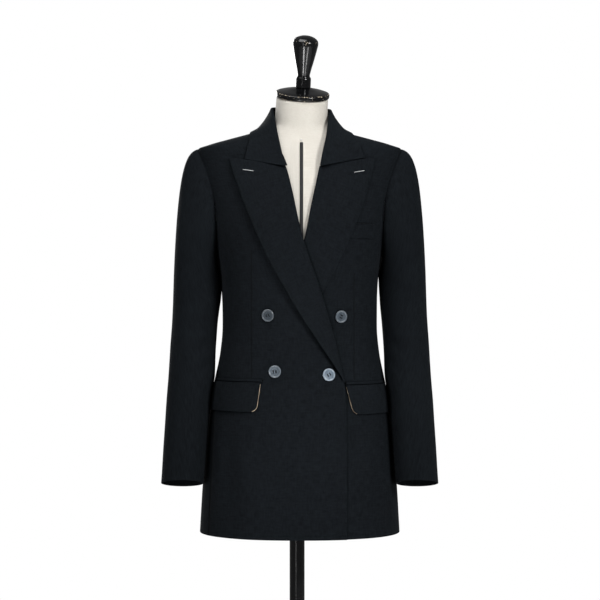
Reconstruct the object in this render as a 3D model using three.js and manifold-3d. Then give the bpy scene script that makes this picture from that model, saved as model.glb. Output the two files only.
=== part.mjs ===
// Double-breasted blazer with peak lapels, worn by a limbless dress form on a stand.
// Millimetres, +Z up, the floor at z = 0. The front faces -Y, so the wearer's right is -X.
import * as THREE from "three";
import { mergeVertices } from "three/addons/utils/BufferGeometryUtils.js";
import Module from "manifold-3d";

// Cloth thicknesses and the gaps between pieces.
const clothWall = 1.6;
const lapelWall = 2.0;
const collarWall = 2.2;
const trimWall = 1.0;
const seamGap = 0.3;
const layerGap = 0.8;

// Heights that the pieces share.
const breakHeight = 953;
const neckPointHeight = 1427;

// Level rings of the body of the garment: half width, depth in front and behind, squareness.
const bodySections = [
  { z: 665.5, side: 189.3, front: 128, back: 117, power: 2.35 },
  { z: 734, side: 185.3, front: 127, back: 117, power: 2.35 },
  { z: 780, side: 181.8, front: 126.3, back: 116.5, power: 2.35 },
  { z: 843, side: 176.0, front: 124.3, back: 114.5, power: 2.35 },
  { z: 907, side: 168.2, front: 121, back: 109, power: 2.33 },
  { z: 962, side: 158.6, front: 117, back: 102, power: 2.3 },
  { z: 1008, side: 150.2, front: 112, back: 93, power: 2.25 },
  { z: 1053, side: 146.4, front: 110, back: 87, power: 2.2 },
  { z: 1130, side: 147.0, front: 117, back: 92, power: 2.2 },
  { z: 1195, side: 156.0, front: 123.5, back: 101, power: 2.25 },
  { z: 1230, side: 162.0, front: 122.5, back: 106, power: 2.3 },
  { z: 1260, side: 166.8, front: 117, back: 110, power: 2.3 },
  { z: 1290, side: 171.0, front: 108.5, back: 112, power: 2.33 },
  { z: 1330, side: 179.0, front: 93, back: 107, power: 2.38 },
  { z: 1360, side: 186.0, front: 78, back: 98, power: 2.5 },
  { z: 1388, side: 191.0, front: 64, back: 85, power: 2.75 },
  { z: 1397, side: 171.0, front: 58.5, back: 79, power: 2.6 },
  { z: 1407, side: 136.5, front: 53, back: 73, power: 2.35 },
  { z: 1417.5, side: 98.0, front: 47.5, back: 67, power: 2.15 },
  { z: 1427, side: 66.0, front: 42, back: 61, power: 2.0 },
  { z: 1433, side: 57.0, front: 40, back: 58, power: 2.0 },
];

// The armhole is an oval on the body rings, in degrees about the side line and in height.
const armhole = { middle: 1291, halfHeight: 97, frontTurn: 21, backTurn: 24, seamShare: 0.35 };
const armholeSteps = 10;
const armpitSteps = 6;
// The sleeve starts this far inside the armhole, in mm of height and in degrees.
const armholeInside = { height: 0.6, turn: 0.35 };
// How the panels' rows crowd towards the shoulder seam, and where the back's rows meet its neck.
const shoulderCrowding = 1.8;
const backNeckStart = 0.62;

// Rows of the body panels: height at the front or back edge, and at the side seams.
const panelLevels = [
  { edge: 665.5, seam: 665.5 },
  { edge: 735, seam: 735 },
  { edge: 807, seam: 807 },
  { edge: 880, seam: 880 },
  { edge: 953, seam: 953 },
  { edge: 1005, seam: 1005 },
  { edge: 1057, seam: 1062 },
  { edge: 1108, seam: 1120 },
  { edge: 1162, seam: 1178 },
  { edge: 1216, seam: 1234 },
];
const panelColumns = 8;

// Degrees from the centre front to the seam before and behind the side panel.
const sideSeams = [
  { z: 665.5, front: 63, back: 118 },
  { z: 888, front: 68.5, back: 114 },
  { z: 1053, front: 70, back: 111 },
  { z: 1234, front: 73.01, back: 109.42 },
];

// Inner edge of each front, measured towards its own side: front edge, roll line, neck seam.
const rightFrontEdge = [
  { z: 665.5, reach: -86 },
  { z: 895, reach: -84.5 },
  { z: 930, reach: -82.5 },
  { z: 953, reach: -79 },
  { z: 1108, reach: -41 },
  { z: 1216, reach: -6 },
  { z: 1304, reach: 15.5 },
  { z: 1350, reach: 27 },
  { z: 1392, reach: 45 },
  { z: 1427, reach: 66 },
];
const leftFrontEdge = [
  { z: 665.5, reach: -77 },
  { z: 895, reach: -75.5 },
  { z: 930, reach: -73 },
  { z: 953, reach: -67 },
  { z: 1108, reach: -22.5 },
  { z: 1216, reach: 8.5 },
  { z: 1304, reach: 28 },
  { z: 1350, reach: 37 },
  { z: 1392, reach: 48 },
  { z: 1427, reach: 66 },
];

// How far the overlapping front stands out over the layers beneath it.
const overlapLift = [
  { z: 665.5, lift: 2.8 },
  { z: 870, lift: 2.8 },
  { z: 945, lift: 6.0 },
  { z: 1080, lift: 6.6 },
  { z: 1200, lift: 7.0 },
  { z: 1290, lift: 2.6 },
  { z: 1350, lift: 0.6 },
  { z: 1400, lift: 0 },
  { z: 1433, lift: 0 },
];
const overlapStart = 150;
const overlapFull = 80;

// Peak lapels: height of the gorge at the roll line, the peak's tip and the outer edge's belly.
const lapels = {
  right: { gorgeZ: 1348, tip: 130.7, tipZ: 1367, belly: 17.5, stand: "right" },
  left: { gorgeZ: 1348, tip: 140.5, tipZ: 1369, belly: 28.5, stand: "left" },
};
// How far each lapel's outer edge stands off the front, from the break up to the peak.
const lapelStands = [
  { up: 0, right: 0.4, left: 0 },
  { up: 0.12, right: 2.5, left: 0 },
  { up: 0.3, right: 3.5, left: 0 },
  { up: 0.5, right: 3.5, left: 0.4 },
  { up: 0.7, right: 5.5, left: 2.6 },
  { up: 0.9, right: 4.0, left: 1.8 },
  { up: 1, right: 1.5, left: 0.8 },
];
const lapelRows = 12;
const lapelColumns = 5;
const lapelFoot = 2.5;
const lapelArch = 0.5;

// The fold of the collar from the gorge (step 0) round to the centre back.
const neckCentre = 3.5;
const collarFold = [
  { step: 0, right: -30.3, left: 40.5, y: -88.5, z: 1350.5 },
  { step: 1, right: -37.2, left: 46.3, y: -75, z: 1381 },
  { step: 2, right: -44.2, left: 53, y: -53.5, z: 1413 },
  { step: 3, right: -50.4, left: 56.5, y: -24, z: 1445 },
  { step: 4, right: -52.8, left: 58.0, y: 6, z: 1462 },
  { step: 5, right: -42.5, left: 49.5, y: 39, z: 1467 },
  { step: 6, right: -21, left: 28, y: 57, z: 1467 },
  { step: 7, right: 3.5, left: 3.5, y: 61.5, z: 1466 },
];
// The collar's outer edge and its neck seam, as degrees and heights on the body rings.
const collarEdge = [
  { step: 0, right: 33.2, rightZ: 1362.8, left: 40.1, leftZ: 1366.4, lift: 4.2 },
  { step: 1, right: 30.6, rightZ: 1388, left: 36.4, leftZ: 1387, lift: 2.9 },
  { step: 2, right: 44.5, rightZ: 1408, left: 50, leftZ: 1408, lift: 2.4 },
  { step: 3, right: 88, rightZ: 1420.5, left: 88, leftZ: 1419.3, lift: 2.4 },
  { step: 4, right: 114, rightZ: 1419, left: 112, leftZ: 1418, lift: 2.2 },
  { step: 5, right: 140, rightZ: 1418.5, left: 140, leftZ: 1418, lift: 2.0 },
  { step: 6, right: 162, rightZ: 1419, left: 162, leftZ: 1419, lift: 2.0 },
  { step: 7, right: 180, rightZ: 1419, left: 180, leftZ: 1419, lift: 2.0 },
];
const collarSeam = [
  { step: 0, right: 7.1, left: 10.6, z: 1352.5 },
  { step: 1, right: 10.7, left: 11.9, z: 1378.5 },
  { step: 2, right: 20.6, left: 20.8, z: 1405.5 },
  { step: 3, right: 53, left: 53, z: 1423.6 },
  { step: 4, right: 95, left: 95, z: 1428.6 },
  { step: 5, right: 133, left: 133, z: 1428.8 },
  { step: 6, right: 160, left: 160, z: 1428.8 },
  { step: 7, right: 180, left: 180, z: 1428.8 },
];
const collarSteps = 7;
const collarRows = 24;
const foldRadius = 2.6;
// The fall is hollowed a little behind the shoulders, between these steps and the centre back.
const fallSag = { depth: 2.2, none: 2, full: 4 };
const collarFallShares = [0, 0.25, 0.5, 0.78];

// Sleeve rings below the armhole: centre, half width and half depth, then in degrees how far
// the front of the ring is tipped up and how far its back is turned in towards the body.
const sleeveSections = [
  { z: 1150, x: 195.5, y: 8, width: 42.8, depth: 60, tip: 0, yaw: 12 },
  { z: 1099, x: 196.6, y: 4, width: 43.8, depth: 57, tip: 1, yaw: 8 },
  { z: 1053, x: 199.5, y: -2, width: 43.1, depth: 54, tip: 3, yaw: 4 },
  { z: 1008, x: 202.1, y: -10, width: 43.1, depth: 52, tip: 5, yaw: 0 },
  { z: 962, x: 203.7, y: -20, width: 43.7, depth: 50, tip: 7, yaw: -3 },
  { z: 917, x: 208.9, y: -30, width: 41.5, depth: 48.5, tip: 9, yaw: -6 },
  { z: 871, x: 211.6, y: -40, width: 41.0, depth: 46.5, tip: 10, yaw: -8 },
  { z: 825, x: 214.5, y: -48, width: 40.6, depth: 45, tip: 12, yaw: -8 },
  { z: 780, x: 217.3, y: -56, width: 39.8, depth: 43.5, tip: 13.5, yaw: -6 },
  { z: 761.5, x: 219.0, y: -59, width: 39.2, depth: 42.5, tip: 14.5, yaw: -6 },
];
const sleeveCapRows = 5;
const sleeveTubeRows = 9;
const capRowEase = 1.15;
// How the sleeve leaves the armhole and settles into its tube, at its outside and its inside.
const capOutward = { outer: 35.5, inner: 3 };
const capRise = { outer: 3, inner: -10 };
const capSettle = { outer: -6, inner: 0 };
const capDrop = { outer: 150, inner: 18 };
const capForward = 13;
// The upper sleeve lies between these turns, which are also armhole and armpit steps.
const upperSleeveTurns = { from: -63, to: 162 };

// Hip pockets: a jet above a flap with a rounded corner, whose front end slants back downwards.
const flap = { top: 951.4, bottom: 898, length: 100, corner: 10.5, farTurn: 77, rows: 4, wall: 1.4 };
const flapEnds = {
  right: { reach: 69.3, slant: 8.0, drop: 0, jetReach: 66.5 },
  left: { reach: 83.8, slant: 14.5, drop: 5, jetReach: 84.6 },
};
const flapColumns = [0, 0.012, 0.035, 0.08, 0.14, 0.25, 0.4, 0.55, 0.7, 0.85, 1];
const lining = { show: 1.3, depth: 10, inset: 2.5, rise: 1, columns: 3, rows: 8 };
const jet = { bottom: 952.2, top: 957.6, columns: 8 };
// Breast pocket welt.
const welt = { inner: 101, outer: 138.5, bottom: 1216.5, top: 1243, columns: 4, rows: 3 };

// Four-hole buttons with a raised rim.
const buttonRadius = 11.5;
const buttonThickness = 3.4;
const buttonDish = { radius: 8.7, depth: 1.0 };
const buttonHole = { radius: 0.95, offset: 2.3, sides: 8 };
const buttonSides = 24;
const buttonPlaces = [
  { name: "button_upper_right", x: -56.2, z: 1075.4, gap: 0.8, onRight: true },
  { name: "button_upper_left", x: 75.5, z: 1072.5, gap: 0.7, onRight: false },
  { name: "button_lower_right", x: -44.4, z: 971.4, gap: -0.1, onRight: true },
  { name: "button_lower_left", x: 51.9, z: 965.8, gap: -0.1, onRight: true },
];

// The dress form follows the garment's rings, this far inside them.
const formInsets = [
  { z: 742, inset: 9 },
  { z: 850, inset: 8 },
  { z: 1053, inset: 7 },
  { z: 1195, inset: 6.5 },
  { z: 1330, inset: 6.5 },
  { z: 1372, inset: 7.5 },
  { z: 1396, inset: 7.5 },
  { z: 1425, inset: 4.6 },
];
const formHeights = [
  742, 770, 850, 930, 1008, 1053, 1130, 1195, 1230, 1290, 1330, 1360, 1378, 1387, 1396, 1406, 1416,
];
const formFloor = { z: 735, share: 0.9 };
const formNeck = [
  { z: 1427, side: 54, front: 40, back: 54 },
  { z: 1440, side: 51.5, front: 43, back: 52.5 },
  { z: 1456, side: 50, front: 46, back: 51.5 },
];
const neckTop = { x: 5, z: 1488, side: 49, front: 49, back: 49.5, tilt: 18, lean: 3.3 };
const formTurns = 28;
const slot = { halfWidth: 2.8, top: 1401, x: 3.2, rise: 0.3, wall: 1 };
const slotPin = { radius: 1.7, height: 1.6, z: 1405.5, rise: 0.5 };

// Turned profiles as radius and height: neck cap, finial, stand base.
const capProfile = [
  [0, 0], [49, 0], [51, 1.6], [51.2, 7.4], [50.2, 9.4], [41, 12.2], [28, 14.6], [20, 17],
  [14.6, 18.4], [0, 18.4],
];
const finialProfile = [
  [0, 18.7], [14.2, 18.7], [14.6, 20.5], [14.4, 36], [13.4, 38.2], [11.8, 40.2], [11.9, 42.5],
  [13.3, 50.5], [17, 66], [20.7, 82], [23.6, 96], [24.5, 102], [23.6, 107], [19.5, 111.6],
  [13, 115], [6, 116.8], [0, 117.2],
];
const pole = { x: -5, radius: 14.2, sides: 32, bottom: 46.3 };
const baseProfile = [
  [0, 0], [188, 0], [190, 2], [190, 7], [187, 9.5], [150, 12], [80, 17], [40, 23], [28, 30], [24, 38],
  [24, 44], [22.5, 46], [0, 46],
];
const turnedSides = 32;
const baseSides = 48;

const wool = material(0x171b1e, 0.9, 0);
const tanLining = material(0x9c8468, 0.7, 0);
const horn = material(0x4d545c, 0.45, 0);
const linen = material(0xe6dfd2, 0.9, 0);
const slotFelt = material(0x3a3a3c, 0.85, 0);
const lacquer = material(0x0b0b0c, 0.16, 0);
const blackSteel = material(0x17181a, 0.3, 0.9);
const brightSteel = material(0xc8c8cc, 0.25, 1);

const blazer = new THREE.Group();

function material(color, roughness, metalness) {
  return new THREE.MeshStandardMaterial({ color, roughness, metalness });
}

// Smooth curve through a table's rows that never swings past them.
function curveOf(rows, input, output) {
  const xs = rows.map((row) => row[input]);
  const ys = rows.map((row) => row[output]);
  const rising = xs[xs.length - 1] > xs[0] ? 1 : -1;
  const widths = xs.slice(1).map((x, i) => x - xs[i]);
  const slopes = ys.slice(1).map((y, i) => (y - ys[i]) / widths[i]);
  const tangents = ys.map((_, i) => {
    if (i === 0) return slopes[0];
    if (i === slopes.length) return slopes[i - 1];
    if (slopes[i - 1] * slopes[i] <= 0) return 0;
    const before = 2 * widths[i] + widths[i - 1];
    const after = widths[i] + 2 * widths[i - 1];
    return (before + after) / (before / slopes[i - 1] + after / slopes[i]);
  });
  return (x) => {
    let k = 0;
    while (k < widths.length - 1 && rising * (x - xs[k + 1]) > 0) k += 1;
    const t = THREE.MathUtils.clamp((x - xs[k]) / widths[k], 0, 1);
    const start = (1 + 2 * t) * (1 - t) ** 2 * ys[k] + t * (1 - t) ** 2 * widths[k] * tangents[k];
    const end = t * t * (3 - 2 * t) * ys[k + 1] + t * t * (t - 1) * widths[k] * tangents[k + 1];
    return start + end;
  };
}

const radians = THREE.MathUtils.degToRad;
const mix = THREE.MathUtils.lerp;
const smooth = THREE.MathUtils.smoothstep;

const bodySide = curveOf(bodySections, "z", "side");
const bodyFront = curveOf(bodySections, "z", "front");
const bodyBack = curveOf(bodySections, "z", "back");
const bodyPower = curveOf(bodySections, "z", "power");

// Point on the garment's body: turn in degrees from the centre front towards +X.
function ringPoint(turn, z) {
  const sine = Math.sin(radians(turn));
  const power = bodyPower(z);
  const depth = Math.cos(radians(turn)) > 0 ? -bodyFront(z) : bodyBack(z);
  const share = Math.max(0, 1 - Math.abs(sine) ** power) ** (1 / power);
  return new THREE.Vector3(bodySide(z) * sine, depth * share, z);
}

function ringNormal(turn, z) {
  const turnStep = 0.6;
  const heightStep = 0.8;
  const around = ringPoint(turn + turnStep, z).sub(ringPoint(turn - turnStep, z));
  const upward = ringPoint(turn, z + heightStep).sub(ringPoint(turn, z - heightStep));
  return around.cross(upward).normalize();
}

// Outer point of a layer that stands `lift` out from the body rings, with its normal.
function bodySpot(turn, z, lift = 0) {
  const normal = ringNormal(turn, z);
  return { point: ringPoint(turn, z).addScaledVector(normal, lift), normal };
}

function turnOf(x, z) {
  return THREE.MathUtils.radToDeg(Math.asin(THREE.MathUtils.clamp(x / bodySide(z), -1, 1)));
}

const liftOverUnder = curveOf(overlapLift, "z", "lift");

// Stand-out of the right front, which laps over the left one.
function rightFrontLift(x, z) {
  return liftOverUnder(z) * smooth(x, -overlapStart, -overlapFull);
}

// Closed wall from a grid of spots: the outer face, the inner face and the four rims.
function wallGeometry(rowCount, columnCount, spotAt, wall, pull = seamGap / 2) {
  const layers = [0, wall].map((depth) => {
    const grid = [];
    for (let i = 0; i <= rowCount; i += 1) {
      const row = [];
      for (let j = 0; j <= columnCount; j += 1) {
        const { point, normal } = spotAt(i, j);
        row.push(point.clone().addScaledVector(normal, -depth));
      }
      grid.push(row);
    }
    return pullIn(grid, pull);
  });
  const corners = [];
  const triangles = [];
  const size = (rowCount + 1) * (columnCount + 1);
  for (const grid of layers) {
    for (const row of grid) corners.push(...row);
  }
  const id = (layer, i, j) => layer * size + i * (columnCount + 1) + j;
  const quad = (a, b, c, d) => triangles.push(a, b, c, a, c, d);
  for (let i = 0; i < rowCount; i += 1) {
    for (let j = 0; j < columnCount; j += 1) {
      quad(id(0, i, j), id(0, i, j + 1), id(0, i + 1, j + 1), id(0, i + 1, j));
      quad(id(1, i, j), id(1, i + 1, j), id(1, i + 1, j + 1), id(1, i, j + 1));
    }
    quad(id(0, i, 0), id(0, i + 1, 0), id(1, i + 1, 0), id(1, i, 0));
    const last = columnCount;
    quad(id(0, i, last), id(1, i, last), id(1, i + 1, last), id(0, i + 1, last));
  }
  for (let j = 0; j < columnCount; j += 1) {
    const top = rowCount;
    quad(id(0, 0, j), id(1, 0, j), id(1, 0, j + 1), id(0, 0, j + 1));
    quad(id(0, top, j), id(0, top, j + 1), id(1, top, j + 1), id(1, top, j));
  }
  return solidGeometry(corners, triangles);
}

// Draws the border of a grid inwards, which leaves the gap at a seam.
function pullIn(grid, distance) {
  const shift = (point, towards) => {
    const step = towards.clone().sub(point).setLength(distance);
    return point.clone().add(step);
  };
  const last = grid.length - 1;
  grid[0] = grid[0].map((point, j) => shift(point, grid[1][j]));
  grid[last] = grid[last].map((point, j) => shift(point, grid[last - 1][j]));
  for (const row of grid) {
    const end = row.length - 1;
    row[0] = shift(row[0], row[1]);
    row[end] = shift(row[end], row[end - 1]);
  }
  return grid;
}

// Indexed geometry whose faces point outwards.
function solidGeometry(corners, triangles) {
  let volume = 0;
  for (let k = 0; k < triangles.length; k += 3) {
    const [a, b, c] = triangles.slice(k, k + 3).map((index) => corners[index]);
    volume += a.dot(b.clone().cross(c));
  }
  const indices = volume > 0 ? triangles : triangles.slice().reverse();
  const geometry = new THREE.BufferGeometry();
  const flat = corners.flatMap((corner) => corner.toArray());
  geometry.setAttribute("position", new THREE.Float32BufferAttribute(flat, 3));
  geometry.setIndex(indices);
  return geometry;
}

function addPiece(name, geometry, finish, parent = blazer) {
  const mesh = new THREE.Mesh(geometry, finish);
  mesh.name = name;
  parent.add(mesh);
  return mesh;
}

const sideSeamFront = curveOf(sideSeams, "z", "front");
const sideSeamBack = curveOf(sideSeams, "z", "back");

// Armhole point by share of a turn: 0 at the shoulder tip, 0.25 in front, 0.5 at the armpit.
function armholeTurn(share, inside = 0) {
  const sine = Math.sin(2 * Math.PI * share);
  const reach = sine > 0 ? armhole.frontTurn : armhole.backTurn;
  return 90 - (reach - inside) * sine;
}

function armholeHeight(share, inside = 0) {
  return armhole.middle + (armhole.halfHeight - inside) * Math.cos(2 * Math.PI * share);
}

// Share of the way from the chest row up to the neck point, after some of the armhole steps.
function neckClimb(climbed) {
  return 1 - (1 - climbed) ** shoulderCrowding;
}

// Front: rows from hem to shoulder seam, columns from the front edge to the side.
function makeFront(name, side, edgeRows, liftAt) {
  const edgeReach = curveOf(edgeRows, "z", "reach");
  const last = panelLevels.length - 1;
  const rowCount = last + armholeSteps;
  const spotAt = (i, j) => {
    let edgeZ;
    let seamZ;
    let seamTurn;
    if (i <= last) {
      edgeZ = panelLevels[i].edge;
      seamZ = panelLevels[i].seam;
      seamTurn = sideSeamFront(seamZ);
    } else {
      const climbed = (i - last) / armholeSteps;
      const share = armhole.seamShare * (1 - climbed);
      edgeZ = mix(panelLevels[last].edge, neckPointHeight, neckClimb(climbed));
      seamZ = armholeHeight(share);
      seamTurn = armholeTurn(share);
    }
    const across = j / panelColumns;
    const edgeTurn = turnOf(edgeReach(edgeZ), edgeZ);
    const z = mix(edgeZ, seamZ, across);
    const turn = side * mix(edgeTurn, seamTurn, across);
    return bodySpot(turn, z, liftAt(ringPoint(turn, z).x, z));
  };
  addPiece(name, wallGeometry(rowCount, panelColumns, spotAt, clothWall), wool);
}

// Side panel: from the hem up to the bottom of the armhole.
function makeSideBody(name, side) {
  const last = panelLevels.length - 1;
  const topFront = armholeTurn(armhole.seamShare);
  const topBack = armholeTurn(1 - armhole.seamShare);
  const spotAt = (i, j) => {
    const seamZ = panelLevels[i].seam;
    const share = mix(armhole.seamShare, 1 - armhole.seamShare, j / armpitSteps);
    const z = i < last ? seamZ : armholeHeight(share);
    const across = (armholeTurn(share) - topFront) / (topBack - topFront);
    const turn = mix(sideSeamFront(seamZ), sideSeamBack(seamZ), across);
    return bodySpot(side * turn, z);
  };
  addPiece(name, wallGeometry(last, armpitSteps, spotAt, clothWall), wool);
}

// Back: rows from hem to shoulder seam, columns from the centre-back seam to the side.
function makeBack(name, side) {
  const last = panelLevels.length - 1;
  const spotAt = (i, j) => {
    const across = j / panelColumns;
    if (i <= last) {
      const { edge, seam } = panelLevels[i];
      return bodySpot(side * mix(180, sideSeamBack(seam), across), mix(edge, seam, across));
    }
    const climbed = (i - last) / armholeSteps;
    const share = 1 - armhole.seamShare * (1 - climbed);
    const onCentre = Math.min(climbed / backNeckStart, 1);
    const onNeck = Math.max((climbed - backNeckStart) / (1 - backNeckStart), 0);
    const edgeZ = mix(panelLevels[last].edge, neckPointHeight, onCentre);
    const edgeTurn = mix(180, 90, onNeck);
    const turn = mix(edgeTurn, armholeTurn(share), across);
    return bodySpot(side * turn, mix(edgeZ, armholeHeight(share), across));
  };
  addPiece(name, wallGeometry(last + armholeSteps, panelColumns, spotAt, clothWall), wool);
}

const sleeveX = curveOf(sleeveSections, "z", "x");
const sleeveY = curveOf(sleeveSections, "z", "y");
const sleeveWidth = curveOf(sleeveSections, "z", "width");
const sleeveDepth = curveOf(sleeveSections, "z", "depth");
const sleeveTip = curveOf(sleeveSections, "z", "tip");
const sleeveYaw = curveOf(sleeveSections, "z", "yaw");
const sleeveTop = sleeveSections[0].z;
const cuffHeight = sleeveSections[sleeveSections.length - 1].z;

// Sleeve ring point for a sleeve on the +X side: turn 0 outside, 90 in front, 180 inside.
function sleeveRing(turn, z) {
  const forward = sleeveDepth(z) * Math.sin(radians(turn));
  const outward = sleeveWidth(z) * Math.cos(radians(turn));
  const tip = radians(sleeveTip(z));
  const yaw = radians(sleeveYaw(z));
  const ahead = forward * Math.cos(yaw) - outward * Math.sin(yaw);
  return new THREE.Vector3(
    sleeveX(z) + outward * Math.cos(yaw) + forward * Math.sin(yaw),
    sleeveY(z) - ahead * Math.cos(tip),
    z + ahead * Math.sin(tip),
  );
}

// Sleeve surface: down 0 at the armhole, 1 below the armpit, 2 at the cuff.
function sleevePoint(turn, down) {
  if (down >= 1) return sleeveRing(turn, mix(sleeveTop, cuffHeight, down - 1));
  const share = turn / 360;
  const { height, turn: inside } = armholeInside;
  const start = ringPoint(armholeTurn(share, inside), armholeHeight(share, height));
  const end = sleeveRing(turn, sleeveTop);
  const outside = (1 + Math.cos(radians(turn))) / 2;
  const leave = start.clone().add(new THREE.Vector3(
    mix(capOutward.inner, capOutward.outer, outside),
    -capForward * Math.sin(radians(turn)),
    mix(capRise.inner, capRise.outer, outside),
  ));
  const arrive = end.clone();
  arrive.x += mix(capSettle.inner, capSettle.outer, outside);
  arrive.z += mix(capDrop.inner, capDrop.outer, outside);
  return new THREE.CubicBezierCurve3(start, leave, arrive, end).getPoint(Math.max(down, 0));
}

function sleeveSpot(turn, down) {
  const turnStep = 1;
  const downStep = 0.004;
  const around = sleevePoint(turn + turnStep, down).sub(sleevePoint(turn - turnStep, down));
  const low = sleevePoint(turn, Math.min(down + downStep, 2));
  const along = low.sub(sleevePoint(turn, Math.max(down - downStep, 0)));
  return { point: sleevePoint(turn, down), normal: around.cross(along).normalize() };
}

// The columns of a sleeve stand where the panels' armhole rows stand.
function sleeveTurns(from, to) {
  const seamTurn = 360 * armhole.seamShare;
  const turns = [];
  for (let k = -armholeSteps; k <= armholeSteps; k += 1) turns.push((seamTurn * k) / armholeSteps);
  for (let k = 1; k <= armpitSteps; k += 1) {
    turns.push(mix(seamTurn, 360 - seamTurn, k / armpitSteps));
  }
  for (let k = 1; k <= armholeSteps; k += 1) {
    turns.push(360 - seamTurn + (seamTurn * k) / armholeSteps);
  }
  const slack = 0.01;
  return turns.filter((turn) => turn >= from - slack && turn <= to + slack);
}

function makeSleeve(name, side, from, to) {
  const turns = sleeveTurns(from, to);
  const rowCount = sleeveCapRows + sleeveTubeRows;
  const spotAt = (i, j) => {
    const onCap = (i / sleeveCapRows) ** capRowEase;
    const down = i <= sleeveCapRows ? onCap : 1 + (i - sleeveCapRows) / sleeveTubeRows;
    const { point, normal } = sleeveSpot(turns[j], down);
    point.x *= side;
    normal.x *= side;
    return { point, normal };
  };
  addPiece(name, wallGeometry(rowCount, turns.length - 1, spotAt, clothWall), wool);
}

const standOff = {
  right: curveOf(lapelStands, "up", "right"),
  left: curveOf(lapelStands, "up", "left"),
};

// Lapel: rows from the break to the gorge, columns from the roll line to the outer edge.
function makeLapel(name, side, shape, edgeRows, liftAt) {
  const edgeReach = curveOf(edgeRows, "z", "reach");
  const foot = edgeReach(breakHeight);
  const spotAt = (i, j) => {
    const up = i / lapelRows;
    const across = j / lapelColumns;
    const rollZ = mix(breakHeight + lapelFoot, shape.gorgeZ, up);
    const outerZ = mix(breakHeight, shape.tipZ, up);
    const roll = edgeReach(rollZ);
    const bulge = shape.belly * 4 * up * (1 - up);
    const outer = Math.max(mix(foot, shape.tip, up) + bulge, roll + lapelFoot);
    const z = mix(rollZ, outerZ, across);
    const x = side * mix(roll, outer, across);
    const standing = standOff[shape.stand](up) * across + lapelArch * 4 * across * (1 - across);
    return bodySpot(turnOf(x, z), z, layerGap + lapelWall + standing + liftAt(x, z));
  };
  addPiece(name, wallGeometry(lapelRows, lapelColumns, spotAt, lapelWall), wool);
}

// Collar: one folded wall, from its outer edge up over the fold and down to the neck seam.
function makeCollar(name) {
  const fold = (around) => {
    const step = collarSteps - Math.abs(around);
    const hand = around < 0 ? "right" : "left";
    const at = (column) => curveOf(collarFold, "step", column)(step);
    return new THREE.Vector3(at(hand), at("y"), at("z"));
  };
  const rows = [];
  for (let i = 0; i <= collarRows; i += 1) {
    const around = collarSteps * (2 * (i / collarRows) - 1);
    rows.push(collarSection(around, fold));
  }
  const last = collarRows;
  const normalAt = (i, j) => {
    const end = rows[i].length - 1;
    const along = rows[Math.min(i + 1, last)][j].clone().sub(rows[Math.max(i - 1, 0)][j]);
    const down = rows[i][Math.min(j + 1, end)].clone().sub(rows[i][Math.max(j - 1, 0)]);
    return down.cross(along).normalize();
  };
  const spotAt = (i, j) => {
    const normal = normalAt(i, j);
    return { point: rows[i][j].clone().addScaledVector(normal, collarWall / 2), normal };
  };
  addPiece(name, wallGeometry(collarRows, rows[0].length - 1, spotAt, collarWall), wool);
}

// Middle line of the collar's cloth at one place round the neck.
function collarSection(around, fold) {
  const hand = around < 0 ? "right" : "left";
  const side = around < 0 ? -1 : 1;
  const step = collarSteps - Math.abs(around);
  const at = (rows, column) => curveOf(rows, "step", column)(step);
  const centre = fold(around);
  const halfStep = 0.25;
  const ahead = fold(Math.min(around + halfStep, collarSteps));
  const along = ahead.sub(fold(Math.max(around - halfStep, -collarSteps))).normalize();
  const outward = new THREE.Vector3(centre.x - neckCentre, centre.y, 0).normalize();
  const crest = along.clone().cross(outward).normalize();
  const edgeTurn = side * at(collarEdge, hand);
  const edge = bodySpot(edgeTurn, at(collarEdge, `${hand}Z`), at(collarEdge, "lift")).point;
  const seam = bodySpot(side * at(collarSeam, hand), at(collarSeam, "z"), -clothWall / 2).point;
  const outerFold = centre.clone().addScaledVector(outward, foldRadius);
  const innerFold = centre.clone().addScaledVector(outward, -foldRadius);
  const top = centre.clone().addScaledVector(crest, foldRadius);
  const fall = collarFallShares.map((share) => {
    const point = edge.clone().lerp(outerFold, share);
    const sag = fallSag.depth * 4 * share * (1 - share) * smooth(step, fallSag.none, fallSag.full);
    return point.addScaledVector(outward, -sag);
  });
  const stand = innerFold.clone().lerp(seam, 0.5);
  return [...fall, outerFold, top, innerFold, stand, seam];
}

// Reach of the flap's front end at a height, slanting back as it goes down.
function flapReach(end, z) {
  return end.reach + (end.slant * (flap.top - z)) / (flap.top - flap.bottom);
}

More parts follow.
